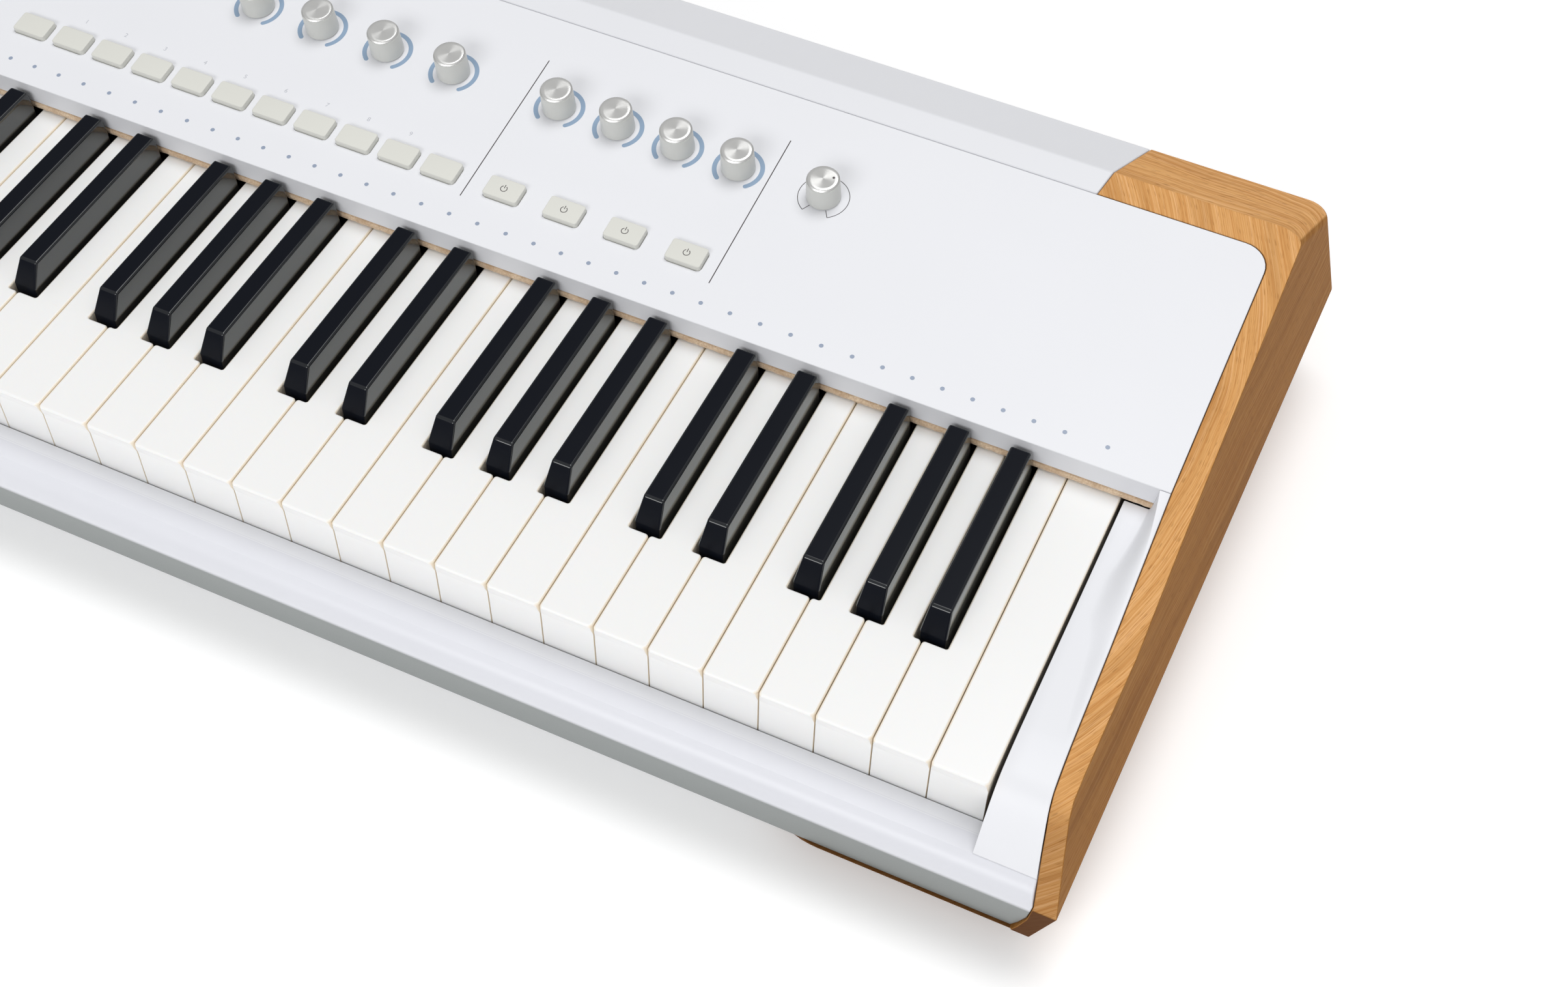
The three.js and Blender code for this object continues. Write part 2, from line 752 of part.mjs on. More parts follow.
function topPanel() {
  const profile = [
    onPanel(panelFront, panelFrontHeight),
    [panelDepth + wall, 0],
    [panelDepth + wall, -wall],
    [wall, -wall],
    onPanel(panelFront - lipLean + wall, lipBottom),
    onPanel(panelFront - lipLean, lipBottom),
  ];
  const region = bodyRegion(seam).intersect(
    block(-bodyEnd, bodyEnd, -far, rearSeam - seam, -far, far),
  );
  const toPanel = new THREE.Matrix4()
    .makeRotationX(-panelTilt)
    .multiply(upright(0, -panelFront, -panelFrontHeight));
  let panel = prismX(profile, -bodyEnd, bodyEnd).intersect(moved(region, toPanel));

  const ears = wheelPlaces().flatMap(({ x }) =>
    [-1, 1].map((side) => {
      const inner = x + side * (wheelWidth / 2 + 2 * seam);
      const outer = inner + side * wall;
      return block(
        Math.min(inner, outer),
        Math.max(inner, outer),
        wheelSlope - 2 * wheelAxle,
        wheelSlope + 2 * wheelAxle,
        -wheelSink - 2 * wheelAxle,
        -wall / 2,
      );
    }),
  );
  panel = joined([panel, ...ears]);
  const bosses = bossPlaces().map(([x, y]) =>
    cylinder(bossRadius, -boardDrop, -wall / 2, 8, upright(x, y, 0)),
  );
  panel = joined([panel, ...bosses]);

  const cuts = [];
  for (const { x } of buttonPlaces()) {
    const outlineHere = roundedOutline(
      buttonWidth + 2 * controlClearance,
      buttonDepth + 2 * controlClearance,
      buttonCorner,
      2,
    ).map(([a, b]) => [a + x, b + buttonSlope]);
    cuts.push(prismZ(outlineHere, -2 * wall, wall));
  }
  for (const { x } of knobPlaces()) {
    cuts.push(
      cylinder(knobShaft + controlClearance, -2 * wall, wall, 8, upright(x, knobSlope, 0)),
    );
  }
  cuts.push(
    cylinder(
      displayRadius + dialSleeve + 2 * controlClearance,
      -2 * wall,
      wall,
      28,
      upright(-displayFromMiddle, displaySlope, 0),
    ),
  );
  for (const { x } of wheelPlaces()) {
    const halfWidth = wheelWidth / 2 + 2 * controlClearance;
    const chord = Math.sqrt(wheelRadius ** 2 - (wheelSink - wall) ** 2) + 2 * controlClearance;
    cuts.push(
      block(x - halfWidth, x + halfWidth, wheelSlope - chord, wheelSlope + chord, -2 * wall, wall),
    );
    cuts.push(
      cylinder(
        wheelAxle + hingeClearance,
        -wheelWidth,
        wheelWidth,
        12,
        lengthwise(x, wheelSlope, -wheelSink),
      ),
    );
  }
  return cutFrom(panel, cuts);
}

function bossPlaces() {
  return bossAcrossShares.map((share) => share * bodyEnd).flatMap((x) => [
    [x, boardFront + 1.5 * bossRadius],
    [x, boardFront + boardDepth - 1.5 * bossRadius],
  ]);
}

function controlBoard() {
  const left = boardLeftShare * bodyEnd;
  const right = bodyEnd - volumeFromEnd + 4 * knobRadius;
  return block(
    left,
    right,
    boardFront,
    boardFront + boardDepth,
    -boardDrop - seam - boardThickness,
    -boardDrop - seam,
  );
}

function buttonCap() {
  const ring = (shrink, z) =>
    levelRing(
      roundedOutline(buttonWidth - 2 * shrink, buttonDepth - 2 * shrink, buttonCorner - shrink / 2, 2),
      z,
    );
  const under = -wall - controlClearance;
  const cap = loft([
    ring(0, under - buttonFlangeDrop / 2),
    ring(buttonTaper, buttonHeight - buttonCrown),
    ring(buttonTaper + buttonCrown / 2, buttonHeight),
  ]);
  const flange = block(
    -buttonWidth / 2 - buttonFlange,
    buttonWidth / 2 + buttonFlange,
    -buttonDepth / 2 - buttonFlange,
    buttonDepth / 2 + buttonFlange,
    under - buttonFlangeDrop,
    under,
  );
  return cap.add(flange);
}

function knob() {
  return turned(
    [
      [0, -knobShaftDrop],
      [knobShaft, -knobShaftDrop],
      [knobShaft, knobLift],
      [knobRadius, knobLift],
      [knobTopRadius, knobHeight - knobEdge],
      [knobTopRadius - knobEdge, knobHeight],
      [0, knobHeight],
    ],
    18,
  );
}

function displayDisc() {
  const radius = displayRadius;
  return turned(
    [
      [0, -boardDrop],
      [radius, -boardDrop],
      [radius, displayProud - knobEdge],
      [radius - knobEdge, displayProud],
      [0, displayProud],
    ],
    28,
  );
}

function navigationDial() {
  const inner = displayRadius + controlClearance;
  const sleeve = inner + dialSleeve;
  return turned(
    [
      [inner, -dialSleeveDrop],
      [sleeve, -dialSleeveDrop],
      [sleeve, knobLift],
      [dialRadius, knobLift],
      [dialRadius - knobEdge, dialHeight - dialBevel],
      [dialRadius - dialBevel, dialHeight],
      [inner + 2 * dialBevel, dialHeight],
      [inner, dialHeight - 2 * dialBevel],
      [inner, -dialSleeveDrop],
    ],
    28,
  );
}

// A thumb wheel about X, with a finger dimple at the given angle from the top
function thumbWheel(dimpleAngle) {
  const half = wheelWidth / 2;
  const disc = turned(
    [
      [0, -half - wheelAxleRun],
      [wheelAxle, -half - wheelAxleRun],
      [wheelAxle, -half],
      [wheelRadius - wheelEdge, -half],
      [wheelRadius, -half + wheelEdge],
      [wheelRadius, half - wheelEdge],
      [wheelRadius - wheelEdge, half],
      [wheelAxle, half],
      [wheelAxle, half + wheelAxleRun],
      [0, half + wheelAxleRun],
    ],
    24,
    lengthwise(0, 0, 0),
  );
  const reach = wheelRadius - wheelDimpleDepth + wheelDimple;
  const dimple = cylinder(
    wheelDimple,
    -wheelWidth,
    wheelWidth,
    14,
    lengthwise(0, reach * Math.sin(dimpleAngle), reach * Math.cos(dimpleAngle)),
  );
  return disc.subtract(dimple);
}

// The keyboard: the octave pattern, in white key pitches and semitones
const blackSemitones = [1, 3, 6, 8, 10];
const whiteSemitones = [0, 2, 4, 5, 7, 9, 11];
const highestNote = skippedNoteCount + keyCount - 1;

function semitoneCentre(semitone) {
  return semitone < 5
    ? wideSemitone * (semitone + 0.5)
    : 5 * wideSemitone + narrowSemitone * (semitone - 5 + 0.5);
}

function keyTable() {
  const firstOctave = -keyboardEnd - 5 * keyPitch;
  const names = ["c", "c_sharp", "d", "d_sharp", "e", "f", "f_sharp", "g", "g_sharp", "a", "a_sharp", "b"];
  const keys = [];
  for (let number = skippedNoteCount; number <= highestNote; number += 1) {
    const octave = Math.floor(number / 12);
    const semitone = number % 12;
    const base = firstOctave + octave * 7 * keyPitch;
    const black = blackSemitones.includes(semitone);
    const exists = (other) => other >= skippedNoteCount && other <= highestNote;
    const blackBelow = !black && exists(number - 1) && blackSemitones.includes((number - 1) % 12);
    const blackAbove = !black && exists(number + 1) && blackSemitones.includes((number + 1) % 12);
    const left = base + whiteSemitones.indexOf(semitone) * keyPitch;
    keys.push({
      name: `key_${octave}_${names[semitone]}`,
      black,
      centre: base + semitoneCentre(semitone),
      left: left + keyGap / 2,
      right: left + keyPitch - keyGap / 2,
      tailLeft: blackBelow ? base + semitoneCentre(semitone - 1) + notchWidth / 2 : null,
      tailRight: blackAbove ? base + semitoneCentre(semitone + 1) - notchWidth / 2 : null,
    });
  }
  return keys;
}

// Side outline of a key in (Y, Z). A turning key ends in a round boss, a fixed one is square.
function keyTail(rear, turning) {
  if (!turning) {
    return [
      [rear, -keyBodyDepth],
      [rear, -hiddenKeyStep],
    ];
  }
  return [
    ...quarterRound(hingeRun, -hingeDepth, hingeBoss, -Math.PI / 2, 3),
    ...quarterRound(hingeRun, -hingeDepth, hingeBoss, 0, 3).slice(1),
  ];
}

function whiteSide(turning) {
  const stepRun = keyVisible + 4 * wall;
  return [
    [0, 0],
    [0, -whiteFront],
    [whiteFrontRun, -whiteFront],
    [whiteFrontRun + whiteUndersideRamp, -keyBodyDepth],
    ...keyTail(hingeRun + wall, turning),
    [stepRun + hiddenKeyStep, -hiddenKeyStep],
    [stepRun, 0],
  ];
}

function blackSide(turning) {
  const front = keyHead + blackFrontGap + blackFrontSlope;
  return [
    [front, -blackFoot + seam],
    [front, -keyBodyDepth],
    ...keyTail(blackRailRun + blackRailDepth, turning),
    [keyVisible + wall, -hiddenKeyStep],
    [keyVisible - wall, -seam - blackEdge],
  ];
}

function hingeBore(x0, x1) {
  return cylinder(
    hingeRod + hingeClearance,
    0,
    x1 - x0,
    12,
    lengthwise(x0, hingeRun, -hingeDepth),
  );
}

function whiteKey({ left, right, tailLeft, tailRight }, turning) {
  const radius = keyCornerRadius;
  const rear = hingeRun + hingeBoss + wall;
  const outline = [
    ...quarterRound(left + radius, radius, radius, Math.PI, 2),
    ...quarterRound(right - radius, radius, radius, (3 * Math.PI) / 2, 2),
  ];
  if (tailRight === null) {
    outline.push([right, rear]);
  } else {
    outline.push([right, keyHead - radius / 2], [right - radius / 2, keyHead]);
    outline.push([tailRight, keyHead], [tailRight, rear]);
  }
  if (tailLeft === null) {
    outline.push([left, rear]);
  } else {
    outline.push([tailLeft, rear], [tailLeft, keyHead]);
    outline.push([left + radius / 2, keyHead], [left, keyHead - radius / 2]);
  }
  const side = prismX(whiteSide(turning), left - keyGap, right + keyGap);
  return prismZ(outline, -whiteFront - wall, wall).intersect(side);
}

function blackKey({ centre }, turning) {
  const front = keyHead + blackFrontGap;
  const rear = feltFront - blackRearGap;
  const ring = (width, y0, y1, z) => {
    const half = width / 2;
    const cut = blackCorner;
    return [
      [half - cut, y0],
      [half, y0 + cut],
      [half, y1],
      [-half, y1],
      [-half, y0 + cut],
      [-half + cut, y0],
    ].map(([x, y]) => new THREE.Vector3(centre + x, y, z));
  };
  const cap = loft([
    ring(blackFootWidth, front - blackEdge / 2, rear, -blackFoot),
    ring(blackFootWidth, front, rear, blackShoulder),
    ring(
      blackTopWidth + blackEdge / 2,
      front + blackFrontSlope - blackEdge / 2,
      rear - blackBackSlope / 2,
      blackHeight - blackEdge,
    ),
    ring(
      blackTopWidth - blackEdge,
      front + blackFrontSlope + blackEdge,
      rear - blackBackSlope,
      blackHeight,
    ),
  ]);
  const half = blackShankWidth / 2;
  const shank = prismX(blackSide(turning), centre - half, centre + half);
  return cap.add(shank);
}

function movingKey(key) {
  const solid = key.black ? blackKey(key, true) : whiteKey(key, true);
  return solid.subtract(hingeBore(key.centre - 2 * keyPitch, key.centre + 2 * keyPitch));
}

// The lower seven octaves' white keys on their hinge rail, with the rod that the upper keys turn on
function whiteKeyRail(keys, movingStart) {
  const railTop = -hiddenKeyStep - seam;
  const railRear = hingeRun + hingeBoss + railSetback + whiteRailDepth;
  const start = -keyboardEnd + keyGap;
  const earInner = keyboardEnd + keyGap;
  const earOuter = earInner + wall;
  const fixedRail = block(start, movingStart - keyGap, hingeRun, railRear, -keyBodyDepth, railTop);
  const openRail = block(
    movingStart - 2 * keyGap,
    earOuter,
    hingeRun + hingeBoss + railSetback,
    railRear,
    -keyBodyDepth,
    railTop,
  );
  const ear = block(earInner, earOuter, hingeRun - hingeBoss, railRear, -keyBodyDepth, railTop);
  const rodLength = earInner + wall / 2 - movingStart + 2 * keyGap;
  const rodPlace = lengthwise(movingStart - 2 * keyGap, hingeRun, -hingeDepth);
  const rod = cylinder(hingeRod, 0, rodLength, 12, rodPlace);
  return joined([fixedRail, openRail, ear, rod, ...keys.map((key) => whiteKey(key, false))]);
}

function blackKeyRail(keys, movingStart) {
  const rail = block(
    -keyboardEnd + keyPitch / 2,
    movingStart - keyGap,
    blackRailRun,
    blackRailRun + blackRailDepth,
    -blackRailTop - blackRailThickness,
    -blackRailTop,
  );
  const legs = keys.map(({ centre }) =>
    block(
      centre - blackShankWidth / 2,
      centre + blackShankWidth / 2,
      blackRailRun,
      blackRailRun + blackRailDepth,
      -blackRailTop - seam,
      -keyBodyDepth + seam,
    ),
  );
  return joined([rail, ...legs, ...keys.map((key) => blackKey(key, false))]);
}

// Steel bed under the keys: a floor with a front stop rail and two carriers for the key rails
function keyBed() {
  const rear = hingeRun + hingeBoss + railSetback + whiteRailDepth;
  const end = bodyEnd - seam - wall - bedInset;
  const carrier = (run, top) =>
    block(-end, end, run - bedThickness / 2, run + bedThickness / 2, -bedTop - bedThickness / 2, -top);
  return joined([
    block(-end, end, bedFront, rear, -bedBottom, -bedTop),
    carrier(guideRailRun, guideRailTop),
    carrier(blackRailRun + blackRailDepth / 2, blackRailTop + blackRailThickness + seam),
    carrier(rear - bedThickness, keyBodyDepth + seam),
  ]);
}

function feltStrip() {
  const end = bodyEnd - cheekRim - 2 * seam;
  return block(-end, end, feltFront, feltFront + feltDepth, seam, seam + feltHeight);
}

// Rear sockets
function socketPlateEdges() {
  const right = bodyEnd - woodReturn - socketPlateFromEnd;
  return [
    right - socketPlateWidth,
    right,
    -socketPlateDrop - socketPlateHeight / 2,
    -socketPlateDrop + socketPlateHeight / 2,
  ];
}

function powerButtonX() {
  return socketPlateEdges()[1] + 4 * powerButtonRadius;
}

function socketPanel() {
  const [x0, x1, z0, z1] = socketPlateEdges();
  const middle = (z0 + z1) / 2;
  const face = rearRun - seam;
  const plate = block(x0, x1, face - socketPlateDepth, face, z0, z1);
  const kinds = ["inlet", "square", "flat", "round", "round", ...Array(jackCount).fill("jack")];
  const first = x1 - (socketPlateWidth - (kinds.length - 1) * socketPitch) / 2;
  const cuts = kinds.map((kind, i) => {
    const x = first - i * socketPitch;
    const low = face - socketDepth;
    if (kind === "square") {
      const half = squareSocket / 2;
      return block(x - half, x + half, low, face + seam, middle - half, middle + half);
    }
    if (kind === "flat") {
      const half = flatSocketWidth / 2;
      const rise = flatSocketHeight / 2;
      return block(x - half, x + half, low, face + seam, middle - rise, middle + rise);
    }
    const radii = { inlet: powerInletRadius, round: roundSocketRadius, jack: jackRadius };
    const outline = new THREE.CylinderGeometry(radii[kind], radii[kind], socketDepth + seam, 10);
    outline.translate(x, low + (socketDepth + seam) / 2, middle);
    return solidOf(outline);
  });
  return cutFrom(plate, cuts);
}

function powerButton() {
  const length = wall + powerButtonTravel;
  return turned(
    [
      [0, 0],
      [powerButtonRadius + wall / 2, 0],
      [powerButtonRadius + wall / 2, powerButtonTravel - seam],
      [powerButtonRadius, powerButtonTravel - seam],
      [powerButtonRadius, length - knobEdge],
      [powerButtonRadius - knobEdge, length],
      [0, length],
    ],
    14,
    rearwards(0, 0, 0),
  );
}

function foot() {
  return turned(
    [
      [0, 0],
      [footRadius - footBevel, 0],
      [footRadius, footBevel],
      [footRadius, footHeight - seam],
      [0, footHeight - seam],
    ],
    20,
  );
}

// The scene graph
const piano = new THREE.Group();
const instrument = new THREE.Group();
instrument.position.set(0, -(rearRun - noseReach) / 2, totalBase);
piano.add(instrument);

const rightWood = woodEnd();
const rightCheek = cheekBlock();
instrument.add(
  placed("wood_end_right", rightWood, wood),
  placed("wood_end_left", mirrored(rightWood), wood),
  placed("cheek_block_right", rightCheek, whitePlastic),
  placed("cheek_block_left", mirrored(rightCheek), whitePlastic),
  placed("key_slip", keySlip(), slipPlastic),
  placed("bottom_case", bottomCase(), casePlastic),
  placed("rear_hood", rearHood(), hoodPlastic),
  placed("key_felt", feltStrip(), felt),
  placed("key_bed", keyBed(), steel),
  placed("socket_panel", socketPanel(), socketPlastic),
);

const powerButtonBack = rearRun - wall - powerButtonTravel - seam;
instrument.add(
  placed("power_button", powerButton(), socketPlastic, [
    powerButtonX(),
    powerButtonBack,
    -socketPlateDrop,
  ]),
);

const keys = keyTable();
const moving = keys.slice(-movingKeyCount);
const fixed = keys.slice(0, -movingKeyCount);
const movingStart = Math.min(...moving.filter((key) => !key.black).map((key) => key.left)) - keyGap / 2;
instrument.add(
  placed("white_keys", whiteKeyRail(fixed.filter((key) => !key.black), movingStart), keyWhite),
  placed("black_keys", blackKeyRail(fixed.filter((key) => key.black), movingStart), keyBlack),
);
for (const key of moving) {
  instrument.add(placed(key.name, movingKey(key), key.black ? keyBlack : keyWhite));
}

const panelGroup = new THREE.Group();
panelGroup.position.set(0, panelFront, panelFrontHeight);
panelGroup.rotation.x = panelTilt;
instrument.add(panelGroup);
panelGroup.add(
  placed("top_panel", topPanel(), whitePlastic),
  placed("control_board", controlBoard(), boardGreen),
  placed("display", displayDisc(), glass, [-displayFromMiddle, displaySlope, 0]),
  placed("navigation_dial", navigationDial(), knobMetal, [-displayFromMiddle, displaySlope, 0]),
);
for (const { name, x } of buttonPlaces()) {
  panelGroup.add(placed(name, buttonCap(), buttonPlastic, [x, buttonSlope, 0]));
}
for (const { name, x } of knobPlaces()) {
  panelGroup.add(placed(name, knob(), knobMetal, [x, knobSlope, 0]));
}
for (const { name, x } of wheelPlaces()) {
  const dimple = name === "pitch_wheel" ? 0 : -Math.PI / 5;
  panelGroup.add(placed(name, thumbWheel(dimple), wheelRubber, [x, wheelSlope, -wheelSink]));
}

for (const side of [-1, 1]) {
  for (const [place, run] of [
    ["front", footFront],
    ["rear", rearRun - footRear],
  ]) {
    const name = `foot_${place}_${side < 0 ? "left" : "right"}`;
    instrument.add(placed(name, foot(), rubber, [side * (bodyEnd - footFromEnd), run, -totalBase]));
  }
}

export default piano;
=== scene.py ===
# %% [markdown]
# A stage piano, seen from above its right-hand end. The mechanical model comes ready made: plain solids of
# the right size that already know how they move. This lesson dresses them. It makes finer pieces where the
# plain ones are too coarse, gives every piece the finish of the real one, and lights the whole like a
# product photograph. Loading the model comes first.

# %% Load the mechanical model
import math

import bmesh
import bpy
from mathutils import Matrix, Vector


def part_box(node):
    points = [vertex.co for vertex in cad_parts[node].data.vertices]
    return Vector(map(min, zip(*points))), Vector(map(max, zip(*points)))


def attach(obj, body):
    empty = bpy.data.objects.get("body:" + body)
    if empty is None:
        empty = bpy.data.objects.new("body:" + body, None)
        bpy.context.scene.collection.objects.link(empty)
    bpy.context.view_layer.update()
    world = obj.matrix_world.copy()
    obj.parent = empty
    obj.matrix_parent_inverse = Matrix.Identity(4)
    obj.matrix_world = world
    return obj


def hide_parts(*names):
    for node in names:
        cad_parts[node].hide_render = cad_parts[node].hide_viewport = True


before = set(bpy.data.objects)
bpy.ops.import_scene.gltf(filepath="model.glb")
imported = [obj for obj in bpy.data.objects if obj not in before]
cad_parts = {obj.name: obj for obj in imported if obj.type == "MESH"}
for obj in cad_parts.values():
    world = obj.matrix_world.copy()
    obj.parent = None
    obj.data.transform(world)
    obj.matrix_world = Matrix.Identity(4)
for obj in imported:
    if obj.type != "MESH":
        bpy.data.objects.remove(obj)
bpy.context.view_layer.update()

# %% [markdown]
# Sizes are written in millimetres, because that is how a piano is drawn. The drawing's origin is the
# front edge of the white keys' tops, in the middle of the keyboard, and the model says where that is.
# The control panel slopes up to the rear, so it has a frame of its own, in which a button's place is
# how far it is across, how far up the slope, and how high above the surface.

# %% Places on the instrument
MM = 0.001
KEY_PITCH = 23.5
WIDE_SEMITONE = 14.1
WHITE_KEYS = 52
FIRST_NOTE = 9
NOTES = 88
KEYBOARD_END = WHITE_KEYS * KEY_PITCH / 2
PANEL_TILT = math.radians(8)
PANEL_FRONT = 148.5
PANEL_FRONT_HEIGHT = 14
HOUSING = "housing"

keys_low, keys_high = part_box("white_keys")
keys_front, keys_top = keys_low.y, keys_high.z


def at(x, y, z):
    """A point of the drawing, in millimetres, as a place in the scene."""
    return Vector((x * MM, keys_front + y * MM, keys_top + z * MM))


panel_frame = Matrix.Translation(at(0, PANEL_FRONT, PANEL_FRONT_HEIGHT))
panel_frame = panel_frame @ Matrix.Rotation(PANEL_TILT, 4, "X")


def on_panel(x, slope, height=0.0):
    """The frame of something that stands on the panel: across, up the slope, above it."""
    return panel_frame @ Matrix.Translation(Vector((x, slope, height)) * MM)


def across(node):
    """How far a node's middle is from the middle of the keyboard, in millimetres."""
    low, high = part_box(node)
    return (low.x + high.x) / 2 / MM


print("white key fronts at y =", round(keys_front, 4), "and tops at z =", round(keys_top, 4))

# %% [markdown]
# The camera stands to the right of the keyboard and looks down on it to the rear and the left. Its
# place was worked out from the keys, whose spacing is known, so the perspective is the photograph's
# own. A camera's axes are the columns of its matrix: right, up, and backwards.

# %% Camera
PHOTO_WIDTH = 2408
FOCAL_PIXELS = 3315.4
SENSOR = 36
CAMERA_PLACE = (0.69536, -0.55826, 0.76943)
CAMERA_RIGHT = Vector((0.90938, 0.41533, 0.02290))
CAMERA_UP = Vector((-0.34035, 0.71131, 0.61498))

camera_data = bpy.data.cameras.new("camera")
camera_data.sensor_width = SENSOR
camera_data.lens = FOCAL_PIXELS / PHOTO_WIDTH * SENSOR
camera_data.clip_start = 0.01
camera_data.clip_end = 100
camera = bpy.data.objects.new("camera", camera_data)
bpy.context.scene.collection.objects.link(camera)
backwards = CAMERA_RIGHT.cross(CAMERA_UP).normalized()
turn = Matrix((CAMERA_RIGHT, CAMERA_UP, backwards)).transposed().to_4x4()
camera.matrix_world = Matrix.Translation(CAMERA_PLACE) @ turn
bpy.context.scene.camera = camera
print("lens:", round(camera_data.lens, 2), "mm")

# %% [markdown]
# A few small helpers serve every finish. One turns a colour as a painter writes it, in hex, to the
# linear values that the renderer works in. One feeds a node's inputs, and one adds a node with its
# settings and feeds it. The others start a material with the standard surface node, give it the
# soft patches of tone that no real surface is without, and tell which way the surface faces.

# %% Helpers for finishes
def linear(hex_colour):
    """A hex colour as linear red, green, blue and alpha."""
    channels = [int(hex_colour[i:i + 2], 16) / 255 for i in (1, 3, 5)]
    return [c / 12.92 if c <= 0.04045 else ((c + 0.055) / 1.055) ** 2.4 for c in channels] + [1.0]


def feed(node, sockets):
    """Gives each named input of a node a value, or links it to an output. A node stands for its
    first output."""
    for name, value in sockets.items():
        if isinstance(value, bpy.types.Node):
            value = value.outputs[0]
        if isinstance(value, bpy.types.NodeSocket):
            node.id_data.links.new(value, node.inputs[name])
        else:
            node.inputs[name].default_value = value


def add(tree, kind, sockets=None, **settings):
    """Adds a node with its settings, and feeds its inputs."""
    made = tree.nodes.new(kind)
    for name, value in settings.items():
        setattr(made, name, value)
    feed(made, sockets or {})
    return made


def surface(name, colour, roughness, metallic=0.0, ior=1.5):
    """A new material with one even colour, and its tree and surface node for what follows."""
    material = bpy.data.materials.new(name)
    material.use_nodes = True
    material.diffuse_color = linear(colour)
    shader = material.node_tree.nodes["Principled BSDF"]
    feed(shader, {"Base Color": linear(colour), "Roughness": roughness, "Metallic": metallic, "IOR": ior})
    return material, material.node_tree, shader


def per(size):
    """The scale of a pattern whose features are this many millimetres apart."""
    return 1 / (size * MM)


def patchy(tree, shader, place, colour, shade, size):
    """Lets the colour drift to a shade of it and back, in patches this many millimetres wide."""
    patch = add(tree, "ShaderNodeTexNoise", {"Vector": place, "Scale": per(size), "Detail": 3.0})
    tone = {"Factor": patch, 6: linear(shade), 7: linear(colour)}
    tone = add(tree, "ShaderNodeMix", tone, data_type="RGBA")
    feed(shader, {"Base Color": tone.outputs[2]})


def facing(tree):
    """The surface's direction as X, Y and Z, and how far it points along the keyboard either way."""
    normal = add(tree, "ShaderNodeNewGeometry").outputs["Normal"]
    parts = add(tree, "ShaderNodeSeparateXYZ", {"Vector": normal}).outputs
    return parts, add(tree, "ShaderNodeMath", {0: parts["X"]}, operation="ABSOLUTE")


print("mid grey, #808080, sends back", round(linear("#808080")[0], 3), "of the light")

# %% [markdown]
# The housing is injection-moulded ABS with a fine satin texture from its mould. Two things give it
# away: the light breaks up a little in the texture, and the surface is never perfectly even. So one
# noise as fine as the texture goes to the gloss and the bump, and the tone drifts in broad patches.
# The real texture is finer than the render can show, so it is drawn at half a millimetre.

# %% Moulded plastics
def moulded(name, colour, shade, roughness, grain=0.5, depth=0.01):
    """ABS whose texture has grains this many millimetres wide and deep."""
    material, tree, shader = surface(name, colour, roughness, ior=1.46)
    place = add(tree, "ShaderNodeTexCoord").outputs["Object"]
    patchy(tree, shader, place, colour, shade, 70)
    fine = add(tree, "ShaderNodeTexNoise", {"Vector": place, "Scale": per(grain), "Detail": 2.0})
    gloss = {"Value": fine, "To Min": roughness - 0.05, "To Max": roughness + 0.05}
    gloss = add(tree, "ShaderNodeMapRange", gloss)
    bump = {"Height": fine, "Strength": 0.25, "Distance": depth * MM}
    bump = add(tree, "ShaderNodeBump", bump)
    feed(shader, {"Roughness": gloss, "Normal": bump})
    return material


panel_white = moulded("satin_white_abs_panel", "#e8e9ed", "#e5e6ea", 0.42)
hood_white = moulded("satin_white_abs_hood", "#e5e6ea", "#e2e3e7", 0.40)
slip_white = moulded("satin_white_abs_slip", "#dedfe5", "#dbdce2", 0.36)
case_grey = moulded("sparked_grey_abs_case", "#c3c5c8", "#bcbec2", 0.62, grain=0.9, depth=0.05)
button_cream = moulded("matt_cream_abs_buttons", "#dcdcd5", "#d6d6cf", 0.5)
skirt_grey = moulded("satin_grey_abs_knob_skirts", "#d6d7d3", "#cfd0cc", 0.38)
socket_black = moulded("sparked_black_abs_sockets", "#202227", "#191b1f", 0.5, grain=0.8, depth=0.04)
print("finishes so far:", len(bpy.data.materials))

# %% [markdown]
# The key slip, the rail in front of the keys, is white where one looks at it from above. Below its belly
# its colour is painted grey: painted shade, for the underside that faces the floor and gets little light.
# The border between the two is soft: the grey comes in over three millimetres of height.

# %% The slip's painted shade underneath
BELLY_HIGH = 0.0436
BELLY_LOW = 0.0405
slip_tree = slip_white.node_tree
slip_shader = slip_tree.nodes["Principled BSDF"]
slip_colour = slip_shader.inputs["Base Color"].links[0].from_socket
slip_place = add(slip_tree, "ShaderNodeTexCoord").outputs["Object"]
slip_height = add(slip_tree, "ShaderNodeSeparateXYZ", {"Vector": slip_place}).outputs["Z"]
# Painted shade: under the belly the colour turns to a dark grey over three millimetres of height.
border = {"Value": slip_height, "From Min": BELLY_HIGH, "From Max": BELLY_LOW}
border = add(slip_tree, "ShaderNodeMapRange", border, interpolation_type="SMOOTHSTEP")
painted_underside_shade = {"Factor": border, 6: slip_colour, 7: linear("#7f8483")}
painted_underside_shade = add(slip_tree, "ShaderNodeMix", painted_underside_shade, data_type="RGBA")
feed(slip_shader, {"Base Color": painted_underside_shade.outputs[2]})
print("the slip is grey under", BELLY_LOW, "m")
